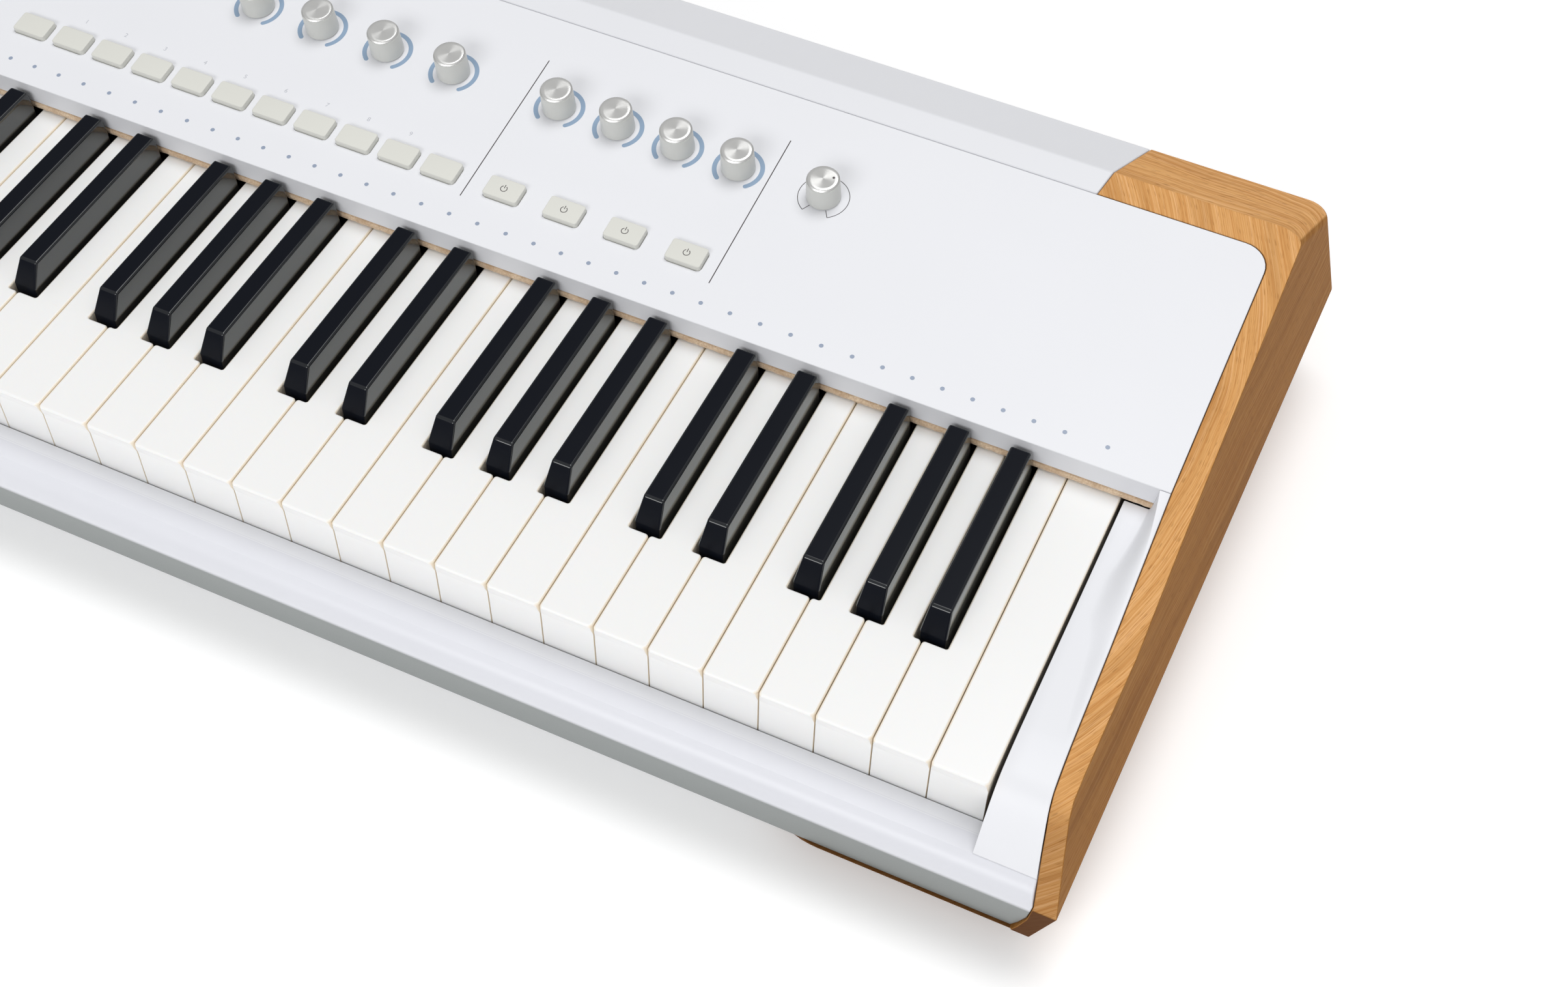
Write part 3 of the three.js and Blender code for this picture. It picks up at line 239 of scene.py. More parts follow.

# %% [markdown]
# The white key is a moulded cap with a soft gloss, and a little light gets into it. Its sides, seen only in
# the gaps between keys, and the rolled shoulders beside them are painted a bright warm cream: painted
# light, for the glow that comes through the plastic in the gaps. The surface's own direction tells sides
# from tops: along the keyboard, it is a side.

# %% White key plastic
def key_white_plastic():
    material, tree, shader = surface("glossy_white_key_plastic", "#f2f2f1", 0.26, ior=1.49)
    sideways = facing(tree)[1]
    # Painted light: sides and shoulders turn a bright warm cream, for the glow in the gaps.
    side = add(tree, "ShaderNodeMapRange", {"Value": sideways, "From Min": 0.1, "From Max": 0.7})
    colour = {"Factor": side, 6: linear("#f2f2f1"), 7: linear("#f6ebd9")}
    colour = add(tree, "ShaderNodeMix", colour, data_type="RGBA")
    place = add(tree, "ShaderNodeTexCoord").outputs["Object"]
    touch = add(tree, "ShaderNodeTexNoise", {"Vector": place, "Scale": per(9), "Detail": 4.0})
    gloss = add(tree, "ShaderNodeMapRange", {"Value": touch, "To Min": 0.25, "To Max": 0.28})
    feed(shader, {
        "Base Color": colour.outputs[2],
        "Roughness": gloss,
        "Subsurface Weight": 0.15,
        "Subsurface Radius": (1.0, 0.8, 0.6),
        "Subsurface Scale": 2 * MM,
    })
    return material


key_white = key_white_plastic()
print("finish:", key_white.name)

# %% [markdown]
# The black key is moulded too, but where fingers touch it its mould was blasted, so that a dry
# finger doesn't slip: satin, a little blue, with a fine grain. Its sides come from a polished part
# of the mould and mirror the white keys, which is why they look grey, and its rolled edges are half
# polished by use. A coat over the satin gives the polish, where the surface's direction asks for it.

# %% Black key plastic
def key_black_plastic():
    material, tree, shader = surface("satin_black_key_plastic", "#060a14", 0.38)
    parts, sideways = facing(tree)
    side = add(tree, "ShaderNodeMapRange", {"Value": sideways, "From Min": 0.5, "From Max": 0.8})
    above = {"Value": parts["Z"], "From Min": 0.58, "From Max": 0.68}
    above = add(tree, "ShaderNodeMapRange", above)
    below = {"Value": parts["Z"], "From Min": 0.995, "From Max": 0.96}
    below = add(tree, "ShaderNodeMapRange", below)
    edge = add(tree, "ShaderNodeMath", {0: above, 1: below}, operation="MULTIPLY")
    edge = add(tree, "ShaderNodeMath", {0: edge, 1: 0.5}, operation="MULTIPLY")
    polish = add(tree, "ShaderNodeMath", {0: side, 1: edge}, operation="MAXIMUM")
    place = add(tree, "ShaderNodeTexCoord").outputs["Object"]
    grain = add(tree, "ShaderNodeTexNoise", {"Vector": place, "Scale": per(0.45), "Detail": 2.0})
    bump = {"Height": grain, "Strength": 0.2, "Distance": 0.01 * MM}
    bump = add(tree, "ShaderNodeBump", bump)
    wear = add(tree, "ShaderNodeTexNoise", {"Vector": place, "Scale": per(12), "Detail": 3.0})
    gloss = add(tree, "ShaderNodeMapRange", {"Value": wear, "To Min": 0.34, "To Max": 0.42})
    feed(shader, {
        "Specular IOR Level": 0.12,
        "Roughness": gloss,
        "Normal": bump,
        "Coat Weight": polish,
        "Coat Roughness": 0.03,
        "Coat IOR": 1.8,
        "Coat Tint": linear("#e4f2e8"),
    })
    return material


key_black = key_black_plastic()
print("finish:", key_black.name)

# %% [markdown]
# The ends are solid oak, oiled. What the eye reads is the grain: bands of early and late wood, and in them
# the open pores, fine dark dashes along the fibres. On the top of the end the growth rings show as curves
# round a centre that lies under the panel, so one number, the distance from that centre, says which ring a
# point is in. On the outer and rear faces the lines lie level instead and wrap round the corner. Where the
# front end turns to the floor, and on the plate under the instrument, shade is painted into the wood as a
# darker brown. The surface's direction chooses between the rules.

# %% The oak's grain
RING_CENTRE = Vector((411, 190, 0))


def oak_grain(tree):
    """Numbers to draw the grain from. The first grows across the grain and the second along it. The third
    is 0 on the outer side and 1 elsewhere, and the fourth is high where shade is painted: on faces turned
    forwards and down, and on the plate under the instrument."""
    place = add(tree, "ShaderNodeTexCoord").outputs["Object"]
    centred = add(tree, "ShaderNodeMapping", {"Vector": place, "Location": -at(0, 0, 0)})
    spot = add(tree, "ShaderNodeSeparateXYZ", {"Vector": centred}).outputs
    out = add(tree, "ShaderNodeMath", {0: spot["X"]}, operation="ABSOLUTE")
    run = add(tree, "ShaderNodeMath", {0: spot["Y"], 1: spot["Z"]}, operation="ADD")
    flat = add(tree, "ShaderNodeCombineXYZ", {"X": out, "Y": run})
    oval = add(tree, "ShaderNodeVectorMath", {0: flat, 1: RING_CENTRE * MM}, operation="SUBTRACT")
    oval = add(tree, "ShaderNodeVectorMath", {0: oval, 1: (1.0, 0.85, 1.0)}, operation="MULTIPLY")
    ring = add(tree, "ShaderNodeVectorMath", {0: oval}, operation="LENGTH").outputs["Value"]
    side_along = add(tree, "ShaderNodeMath", {0: spot["Y"], 1: out}, operation="SUBTRACT")
    sag = {0: side_along, 1: 0.03, 2: spot["Z"]}
    side_across = add(tree, "ShaderNodeMath", sag, operation="MULTIPLY_ADD")

    parts, sideways = facing(tree)
    not_outer = {"Value": sideways, "From Min": 0.55, "From Max": 0.45}
    not_outer = add(tree, "ShaderNodeMapRange", not_outer)
    not_rear = {"Value": parts["Y"], "From Min": 0.18, "From Max": 0.12}
    not_rear = add(tree, "ShaderNodeMapRange", not_rear)
    is_top = add(tree, "ShaderNodeMath", {0: not_outer, 1: not_rear}, operation="MULTIPLY")
    across_it = add(tree, "ShaderNodeMix", {"Factor": is_top, 2: side_across, 3: ring})
    along_it = add(tree, "ShaderNodeMix", {"Factor": is_top, 2: side_along, 3: run})
    drift = add(tree, "ShaderNodeTexNoise", {"Vector": place, "Scale": per(75), "Detail": 1.0})
    drift = {0: drift, 1: 8 * MM, 2: across_it}
    across_it = add(tree, "ShaderNodeMath", drift, operation="MULTIPLY_ADD")

    # Painted shade: faces turned forwards and down, and the plate under the instrument, are marked for a
    # darker colour.
    forward = {"Value": parts["Y"], "From Min": 0.1, "From Max": -0.1}
    forward = add(tree, "ShaderNodeMapRange", forward)
    tilted = {"Value": parts["Z"], "From Min": 0.98, "From Max": 0.0, "To Max": 0.95}
    tilted = add(tree, "ShaderNodeMapRange", tilted)
    dark = add(tree, "ShaderNodeMath", {0: forward, 1: tilted}, operation="MULTIPLY")
    deep = {"Value": spot["Z"], "From Min": -60 * MM, "From Max": -66 * MM, "To Max": 0.85}
    deep = add(tree, "ShaderNodeMapRange", deep)
    dark = add(tree, "ShaderNodeMath", {0: dark, 1: deep}, operation="MAXIMUM")
    dark = add(tree, "ShaderNodeMath", {0: dark, 1: not_outer}, operation="MULTIPLY")
    return across_it, along_it, not_outer, dark


def streaks(tree, across_it, along_it, width, length, detail):
    """A noise drawn out along the grain: streaks this many millimetres wide and long."""
    stretched = add(tree, "ShaderNodeCombineXYZ", {"X": across_it, "Y": along_it})
    scaled = {0: stretched, 1: (per(width), per(length), 1.0)}
    scaled = add(tree, "ShaderNodeVectorMath", scaled, operation="MULTIPLY")
    sockets = {"Vector": scaled, "Scale": 1.0, "Detail": detail, "Roughness": 0.55}
    return add(tree, "ShaderNodeTexNoise", sockets)


print("the growth rings' centre is", RING_CENTRE.x, "mm from the middle of the keyboard")

# %% [markdown]
# The finish lays four noises over each other, all drawn out along the grain: bands of early and late wood,
# thin fibres, pores, and broad clouds of darker wood. The real bands and pores are finer still, and are
# drawn as wide as the render can show. The outer side's colour is multiplied by a duller tone: painted
# shade.

# %% Oak
STREAK_SPACING = 0.8
FIBRE_SPACING = 0.45
CLOUD_SPACING = 11
PORE_WIDTH = 0.3
PORE_LENGTH = 6.0


def oak():
    material, tree, shader = surface("oiled_oak", "#d79a58", 0.5)
    across_it, along_it, not_outer, dark = oak_grain(tree)
    bands = streaks(tree, across_it, along_it, STREAK_SPACING, 130, 3.0)
    fibres = streaks(tree, across_it, along_it, FIBRE_SPACING, 40, 2.0)
    pores = streaks(tree, across_it, along_it, PORE_WIDTH, PORE_LENGTH, 0.0)
    clouds = streaks(tree, across_it, along_it, CLOUD_SPACING, 190, 2.0)

    body = add(tree, "ShaderNodeValToRGB", {"Fac": bands})
    body.color_ramp.elements[0].position = 0.36
    body.color_ramp.elements[0].color = linear("#d0965a")
    body.color_ramp.elements[1].position = 0.64
    body.color_ramp.elements[1].color = linear("#e8b47c")
    body.color_ramp.elements.new(0.5).color = linear("#dda769")
    colour = body.outputs[0]
    layers = [
        (fibres, 0.36, 0.56, 0.45, 0.0, "#b87a3e"),
        (clouds, 0.5, 0.72, 0.0, 0.45, "#9d6a38"),
        (pores, 0.27, 0.36, 0.35, 0.0, "#875627"),
    ]
    for noise, low, high, share_low, share_high, tone in layers:
        share = {"Value": noise, "From Min": low, "From Max": high}
        share.update({"To Min": share_low, "To Max": share_high})
        share = add(tree, "ShaderNodeMapRange", share)
        layer = {"Factor": share, 6: colour, 7: linear(tone)}
        colour = add(tree, "ShaderNodeMix", layer, data_type="RGBA").outputs[2]
    # Painted shade: the outer side's colour is multiplied by a duller tone.
    outer = add(tree, "ShaderNodeMapRange", {"Value": not_outer, "To Min": 1.0, "To Max": 0.0})
    painted_side_shade = {"Factor": outer, 6: colour, 7: linear("#bbae92")}
    painted_side_shade = add(tree, "ShaderNodeMix", painted_side_shade, data_type="RGBA", blend_type="MULTIPLY")
    # Painted shade: where the fourth number is high, the colour goes towards dark brown.
    painted_low_shade = {"Factor": dark, 6: painted_side_shade.outputs[2], 7: linear("#4a2606")}
    painted_low_shade = add(tree, "ShaderNodeMix", painted_low_shade, data_type="RGBA")
    height = add(tree, "ShaderNodeMath", {0: fibres, 1: 0.6, 2: pores}, operation="MULTIPLY_ADD")
    bump = add(tree, "ShaderNodeBump", {"Height": height, "Strength": 0.3, "Distance": 0.05 * MM})
    feed(shader, {"Base Color": painted_low_shade.outputs[2], "Normal": bump, "Specular IOR Level": 0.03})
    return material


oiled_oak = oak()
print("finish:", oiled_oak.name, "with", len(oiled_oak.node_tree.nodes), "nodes")

# %% [markdown]
# The strip between the keys and the panel is pressed wool felt. Felt has no weave, only fibres lying
# every way, so a coarse and a fine noise together make its nap, and sheen gives the pale edge that
# the fibres standing off the surface catch.

# %% Felt
def wool_felt():
    material, tree, shader = surface("pressed_wool_felt", "#dcbf9c", 0.95)
    place = add(tree, "ShaderNodeTexCoord").outputs["Object"]
    nap = add(tree, "ShaderNodeTexNoise", {"Vector": place, "Scale": per(0.8), "Detail": 4.0})
    tufts = add(tree, "ShaderNodeTexNoise", {"Vector": place, "Scale": per(7), "Detail": 3.0})
    both = add(tree, "ShaderNodeMath", {0: nap, 1: tufts}, operation="MULTIPLY")
    colour = add(tree, "ShaderNodeValToRGB", {"Fac": both})
    colour.color_ramp.elements[0].position = 0.12
    colour.color_ramp.elements[0].color = linear("#c4a482")
    colour.color_ramp.elements[1].position = 0.42
    colour.color_ramp.elements[1].color = linear("#eed6b8")
    bump = add(tree, "ShaderNodeBump", {"Height": nap, "Distance": 0.3 * MM})
    feed(shader, {"Base Color": colour, "Normal": bump, "Sheen Weight": 0.4})
    return material


felt = wool_felt()
print("finish:", felt.name)

# %% [markdown]
# Knob caps are aluminium, turned on a lathe. The tool leaves rings far too fine to see, but they
# stretch every highlight into two bright fans that meet at the middle. Anisotropy does that, once it
# knows which way the rings run, and a UV map that goes round the cap tells it. Rings a quarter of a
# millimetre apart, as fine as the render can show, change the gloss a little. The other metals are
# plated, and their gloss drifts in patches.

# %% Metals
def spun_aluminium():
    material, tree, shader = surface("spun_aluminium", "#d8d8d6", 0.27, metallic=0.65)
    round_the_cap = add(tree, "ShaderNodeTangent", direction_type="UV_MAP", uv_map="turning")
    spot = add(tree, "ShaderNodeUVMap", uv_map="turning")
    split = add(tree, "ShaderNodeSeparateXYZ", {"Vector": spot})
    rings = {"W": split.outputs["Y"], "Scale": per(0.25), "Detail": 2.0}
    rings = add(tree, "ShaderNodeTexNoise", rings, noise_dimensions="1D")
    gloss = add(tree, "ShaderNodeMapRange", {"Value": rings, "To Min": 0.245, "To Max": 0.28})
    feed(shader, {"Anisotropic": 0.88, "Tangent": round_the_cap, "Roughness": gloss})
    return material


def plated(name, colour, roughness):
    material, tree, shader = surface(name, colour, roughness, metallic=1.0)
    place = add(tree, "ShaderNodeTexCoord").outputs["Object"]
    spangle = add(tree, "ShaderNodeTexNoise", {"Vector": place, "Scale": per(6), "Detail": 3.0})
    gloss = {"Value": spangle, "To Min": roughness - 0.08, "To Max": roughness + 0.08}
    feed(shader, {"Roughness": add(tree, "ShaderNodeMapRange", gloss)})
    return material


aluminium = spun_aluminium()
nickel = plated("nickel_plated_brass", "#c9c6be", 0.2)
zinc = plated("zinc_plated_steel", "#a3a7aa", 0.36)
gold = plated("gold_plated_contacts", "#d9b45f", 0.22)
print("metals:", aluminium.name, nickel.name, zinc.name, gold.name)

# %% [markdown]
# The rest of the finishes are small: soft rubber, the ink of the printed marks, the smoked windows
# over the lamps, the dark glass of the display and the green lacquer of a circuit board. Even these
# get patches of tone, because nothing on a real instrument is one flat colour.

# %% Rubber, ink, windows, glass and lacquer
def mottled(name, colour, shade, roughness, size, ior=1.5):
    """A finish whose tone drifts in patches this many millimetres wide."""
    material, tree, shader = surface(name, colour, roughness, ior=ior)
    patchy(tree, shader, add(tree, "ShaderNodeTexCoord").outputs["Object"], colour, shade, size)
    return material


foot_rubber = mottled("moulded_rubber_feet", "#2a2b2e", "#1d1e20", 0.8, 2.5)
wheel_rubber = mottled("soft_touch_rubber", "#474a50", "#3d4046", 0.62, 1.8)
dark_ink = mottled("dark_screen_ink", "#4a4446", "#423c3e", 0.6, 1.5)
grey_ink = mottled("grey_screen_ink", "#c2c4ca", "#babcc3", 0.6, 1.5)
lamp_window = mottled("smoked_lamp_window", "#93a9c1", "#88a0ba", 0.35, 4.0)
key_lamp = mottled("smoked_key_lamp", "#98a4b8", "#8f9bb0", 0.35, 1.0)
display_glass = mottled("dark_display_glass", "#0b0c0f", "#101216", 0.06, 9.0, ior=1.52)
board_lacquer = mottled("green_board_lacquer", "#1f5a35", "#17472a", 0.35, 3.0)
# Painted shadow: a near-black finish for a face that lies in shadow in a gap.
shadow_gap = mottled("black_inside", "#1a1a1c", "#131314", 0.8, 4.0)
print(len(bpy.data.materials), "materials")

# %% [markdown]
# Next come the helpers that shape pieces. Most moulded forms start from an outline whose corners are
# rounded by a radius of their own. Rings of points joined by faces make a solid, an outline pulled
# straight up is the simplest of them, and a lathe turns a profile. The surface is smooth wherever
# its faces meet at a shallow angle.

# %% Helpers for shapes
def filleted(corners, steps=5):
    """A closed outline's points. A corner is (x, y) or (x, y, radius), and a radius becomes an arc."""
    points = []
    for i, corner in enumerate(corners):
        here = Vector(corner[:2])
        if len(corner) == 2:
            points.append(here)
            continue
        before = (Vector(corners[i - 1][:2]) - here).normalized()
        after = (Vector(corners[(i + 1) % len(corners)][:2]) - here).normalized()
        half = before.angle(after) / 2
        reach = corner[2] / math.tan(half)
        centre = here + (before + after).normalized() * (corner[2] / math.sin(half))
        first = here + before * reach - centre
        last = here + after * reach - centre
        sweep = first.angle_signed(last)
        for step in range(steps + 1):
            points.append(centre + Matrix.Rotation(-sweep * step / steps, 2) @ first)
    return points


def joined(shape, rings):
    """Joins rings of as many points each with faces, and closes the first and the last."""
    shape.faces.new(rings[0][::-1])
    shape.faces.new(rings[-1])
    count = len(rings[0])
    for near, far in zip(rings, rings[1:]):
        for i in range(count):
            j = (i + 1) % count
            shape.faces.new((near[i], near[j], far[j], far[i]))


def extruded(outline, low, high, place=None):
    """A straight prism of an outline in X and Y, from one height to another, in millimetres."""
    shape = bmesh.new()
    joined(shape, [[shape.verts.new((x * MM, y * MM, z * MM)) for x, y in outline] for z in (low, high)])
    bmesh.ops.recalc_face_normals(shape, faces=shape.faces)
    if place:
        shape.transform(place)
    return shape


def lathed(profile, sides=64, place=None, materials=None):
    """A solid turned about +Z. The profile runs in radius and height, in millimetres, and materials
    gives the material number of each of its stretches. A UV map goes round and along."""
    shape = bmesh.new()
    turns = [2 * math.pi * i / sides for i in range(sides)]
    rings = []
    for radius, height in profile:
        spots = [(radius * MM * math.cos(a), radius * MM * math.sin(a), height * MM) for a in turns]
        rings.append([shape.verts.new(spot) for spot in (spots if radius else spots[:1])])
    uv = shape.loops.layers.uv.new("turning")
    along = [0.0]
    for (r0, h0), (r1, h1) in zip(profile, profile[1:]):
        along.append(along[-1] + math.hypot(r1 - r0, h1 - h0) * MM)
    for level, (low, high) in enumerate(zip(rings, rings[1:])):
        for i in range(sides):
            used = []
            for ring, spot in ((low, i), (low, i + 1), (high, i + 1), (high, i)):
                vert = ring[spot % len(ring)]
                if all(vert != other for other, *_ in used):
                    used.append((vert, spot / sides, along[level + (ring is high)]))
            if len(used) < 3:
                continue
            face = shape.faces.new([vert for vert, *_ in used])
            face.material_index = materials[level] if materials else 0
            for loop, (_, u, v) in zip(face.loops, used):
                loop[uv].uv = (u, v)
    bmesh.ops.recalc_face_normals(shape, faces=shape.faces)
    if place:
        shape.transform(place)
    return shape


def rolled(shape, edges, width, steps):
    """Rolls edges of a shape over, this many millimetres wide."""
    bmesh.ops.bevel(shape, geom=edges, offset=width * MM, segments=steps, profile=0.5, affect="EDGES")


def heights(edge):
    """The heights of an edge's lower and upper end, in millimetres."""
    return sorted(vert.co.z / MM for vert in edge.verts)


square = filleted([(0, 0, 1), (9, 0, 1), (9, 9, 1), (0, 9, 1)])
print("a square with round corners has", len(square), "points")

# %% [markdown]
# A shape becomes a mesh, and a mesh becomes a piece, which moves with one body of the model, has one
# of its finishes, and hides the plain solid that it stands for. Modifiers run on the way: their
# result is kept as a plain mesh, so that nothing is left to be worked out later.

# %% Helpers for pieces
def meshed(name, shape, *materials):
    """A mesh from a shape, with its materials, smooth except at edges over 35 degrees."""
    mesh = bpy.data.meshes.new(name)
    shape.to_mesh(mesh)
    shape.free()
    for material in materials:
        mesh.materials.append(material)
    mesh.shade_smooth()
    mesh.set_sharp_from_angle(angle=math.radians(35))
    return mesh


def baked(holder):
    """The mesh that an object comes to once its modifiers have run. The object itself goes."""
    bpy.context.scene.collection.objects.link(holder)
    bpy.context.view_layer.update()
    done = holder.evaluated_get(bpy.context.evaluated_depsgraph_get())
    mesh = bpy.data.meshes.new_from_object(done)
    mesh.name = holder.name
    bpy.data.objects.remove(holder)
    return mesh


def settled(mesh, *modifiers):
    """The mesh with these modifiers applied. A modifier is its kind and its settings."""
    holder = bpy.data.objects.new(mesh.name, mesh)
    for kind, settings in modifiers:
        modifier = holder.modifiers.new(kind, kind)
        for setting, value in settings.items():
            setattr(modifier, setting, value)
    return baked(holder)


def combined(name, *meshes):
    """Several meshes as one, with their materials kept apart."""
    merged = bmesh.new()
    materials = []
    for mesh in meshes:
        for material in mesh.materials:
            if material not in materials:
                materials.append(material)
        numbers = [materials.index(material) for material in mesh.materials]
        first = len(merged.faces)
        merged.from_mesh(mesh)
        merged.faces.ensure_lookup_table()
        for face in merged.faces[first:]:
            face.material_index = numbers[face.material_index] if numbers else 0
    return meshed(name, merged, *materials)


def piece(name, mesh, body, slot, *replaced):
    """A finished mesh as a piece of the piano, which moves with a body. The slot is not used."""
    made = bpy.data.objects.new(name, mesh)
    bpy.context.scene.collection.objects.link(made)
    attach(made, body)
    if replaced:
        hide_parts(*replaced)
    return made


print("the model has", len(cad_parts), "plain solids to dress")

# %% [markdown]
# A moulded part has no sharp edges: its mould is cut with a round tool. Where the plain solid's shape
# is right, a copy of it is cleaned up instead of being made again: its triangles are merged into flat
# faces, its edges are rolled over by a Bevel modifier, and Weighted Normal keeps the flat faces flat
# in the light. A Boolean modifier does what a saw or a second mould half would.

# %% Soft edges on the plain solids
SHARP = math.radians(27)
SAME_PLANE = math.radians(0.6)


def cleaned(mesh, near):
    """A shape from a mesh, with points this near to each other merged, and flat faces whole."""
    shape = bmesh.new()
    shape.from_mesh(mesh)
    bmesh.ops.remove_doubles(shape, verts=shape.verts, dist=near * MM)
    bmesh.ops.dissolve_limit(shape, angle_limit=SAME_PLANE, verts=shape.verts, edges=shape.edges)
    return shape


def plain(node):
    """A copy of a plain solid, with its triangles merged into flat faces."""
    return meshed(node + "_plain", cleaned(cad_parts[node].data, 0.004))


def softened(solid, width, *materials, near=0.01, sharp=SHARP):
    """A mesh with rolled edges, this many millimetres wide."""
    shape = cleaned(solid, near)
    weights = shape.edges.layers.float.new("bevel_weight_edge")
    for edge in shape.edges:
        if len(edge.link_faces) == 2 and edge.calc_face_angle() > sharp:
            edge[weights] = 1.0
    mesh = meshed(solid.name + "_soft", shape, *materials)
    bevel = {"limit_method": "WEIGHT", "width": width * MM, "segments": 3, "use_clamp_overlap": False}
    return settled(mesh, ("BEVEL", bevel), ("WEIGHTED_NORMAL", {"keep_sharp": True}))


def boolean(mesh, other, operation):
    """The mesh cut by, joined to or kept only within another mesh."""
    tool = bpy.data.objects.new("tool", other)
    bpy.context.scene.collection.objects.link(tool)
    result = settled(mesh, ("BOOLEAN", {"object": tool, "operation": operation, "solver": "EXACT"}))
    bpy.data.objects.remove(tool)
    return result


print("the plain panel has", len(plain("top_panel").polygons), "flat faces")

# %% [markdown]
# The wooden ends. Each is one block with flat facets, and the plain solid already has them. Two
# things are finer here: the plate under the instrument reaches further in, and its lower front edge
# is cut at 45 degrees, so that from above only a thin line of wood shows under the slip. The plate is
# joined to the block first, then the saw goes along, and the edges get the small rounding of sanding
# last, since a saw leaves cleaner faces on a block whose edges are still sharp. The left-hand end is
# the right-hand one's mirror image, as a joiner would cut it from the same drawing.

# %% Wooden ends
BODY_END = KEYBOARD_END + 19.1
PLATE_REACH = 103.4
PLATE_FRONT = -16
PLATE_TOP = -66.7
PLATE_BOTTOM = -71
PLATE_CUT = 4.4
SANDED = 0.45
LENGTHWISE = Matrix(((0, 0, 1, 0), (1, 0, 0, 0), (0, 1, 0, 0), (0, 0, 0, 1)))


def right_hand_end():
    rear = (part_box("wood_end_right")[1].y - keys_front) / MM
    inner, outer = BODY_END - PLATE_REACH, BODY_END - 55
    plan = [(inner, PLATE_FRONT, 26), (outer, PLATE_FRONT), (outer, rear), (inner, rear, 12)]
    place = Matrix.Translation(at(0, 0, 0))
    plate = extruded(filleted(plan, 9), PLATE_BOTTOM, PLATE_TOP, place)
    corner = [
        (PLATE_FRONT - 3, PLATE_BOTTOM + PLATE_CUT + 3),
        (PLATE_FRONT + PLATE_CUT + 3, PLATE_BOTTOM - 3),
        (PLATE_FRONT - 3, PLATE_BOTTOM - 3),
    ]
    saw = extruded(corner, inner - 5, BODY_END + 60, place @ LENGTHWISE)
    block = boolean(plain("wood_end_right"), meshed("plate", plate), "UNION")
    block = boolean(block, meshed("saw", saw), "DIFFERENCE")
    return softened(block, SANDED, oiled_oak, near=0.3)


def mirrored(name, mesh):
    """The mesh's mirror image, for the other side of the piano."""
    shape = bmesh.new()
    shape.from_mesh(mesh)
    shape.transform(Matrix.Scale(-1, 4, (1, 0, 0)))
    bmesh.ops.reverse_faces(shape, faces=shape.faces)
    return meshed(name, shape, *mesh.materials)


right_end = right_hand_end()
for side, mesh in (("right", right_end), ("left", mirrored("left_end", right_end))):
    end = piece(f"oak_end_{side}", mesh, HOUSING, "oak", f"wood_end_{side}")
    reach = sorted(round(corner[0], 4) for corner in end.bound_box)
    print(end.name, len(mesh.polygons), "faces, x from", reach[0], "to", reach[-1])

# %% [markdown]
# The housing's mouldings: panel, hood, key slip and bottom case. Each has its own width of rolled
# edge, and where panel and hood meet the edge is very small, so that the seam is hardly seen. Behind
# its crest the slip has a shelf that reaches to the fronts of the keys, so that no dark gap shows in
# front of them. Its section is drawn looking along the keyboard and pulled from end to end.

# %% Housing
HOUSING_SHAPES = [
    ("top_panel", "control_panel", 0.3, panel_white, "cream_white_plastic"),
    ("rear_hood", "hood", 0.8, hood_white, "hood_white_plastic"),
    ("key_slip", "slip", 0.5, slip_white, "hood_white_plastic"),
    ("bottom_case", "case", 0.5, case_grey, "case_grey_plastic"),
    ("key_bed", "bed", 0.3, zinc, "plated_steel"),
    ("socket_panel", "socket_plate", 0.25, socket_black, "socket_black_plastic"),
]
for node, name, edge, material, slot in HOUSING_SHAPES:
    shell = piece(name, softened(plain(node), edge, material), HOUSING, slot, node)
    print(name, len(shell.data.polygons), "faces")

SHELF = [(-5.8, -26.48), (0.6, -26.75), (0.6, -31), (-4.8, -31), (-5.2, -27.5)]
SHELF_END = KEYBOARD_END + 1.2
shelf = extruded(SHELF, -SHELF_END, SHELF_END, Matrix.Translation(at(0, 0, 0)) @ LENGTHWISE)
# Painted light: the shelf takes the panel's lighter white rather than the slip's, to lift the shadow that
# the keys cast on it.
piece("slip_slope", meshed("slip_slope", shelf, panel_white), HOUSING, "hood_white_plastic")

# %% [markdown]
# A cheek block fills each end of the keyboard. It is flat beside the keys, follows the side's line at the
# front, and near the panel it sweeps up to a rim along the wood. The sweep has no edge that one could point
# to, so the block is a row of sections whose outline is worked out by one rule: the rim is as high as the
# side's line, with its corners rounded off, and the way up to it is an S at the front that grows steeper
# and hollower towards the panel. The face beside the keys lies in shadow and is given a near-black finish:
# a painted shadow.

# %% Cheek blocks
CHEEK_LINE = [
    (-22, -37.3), (-19, -32.6), (-13.9, -26), (-7, -17), (-2.49, -11.99), (2.6, -5.76), (8.69, -2),
    (20.05, -0.56), (43.07, 0.8), (75, 2.2), (103.95, 7), (148.5, 14), (160, 15.8),
]
CHEEK_INNER = KEYBOARD_END + 1.3
CHEEK_REAR = 148.0
CHEEK_FRONT = -13.8
CHEEK_BOTTOM = -26.2
CHEEK_ROWS = 72


def line_height(run):
    """The height of the side's line, in millimetres, with its corners rounded off."""
    total = 0.0
    for shift in range(-4, 5):
        here = run + shift
        for (y0, z0), (y1, z1) in zip(CHEEK_LINE, CHEEK_LINE[1:]):
            if y0 <= here <= y1:
                total += z0 + (z1 - z0) * (here - y0) / (y1 - y0)
                break
    return total / 9


def share_of(value):
    """A share is never under 0 or over 1."""
    return min(max(value, 0), 1)


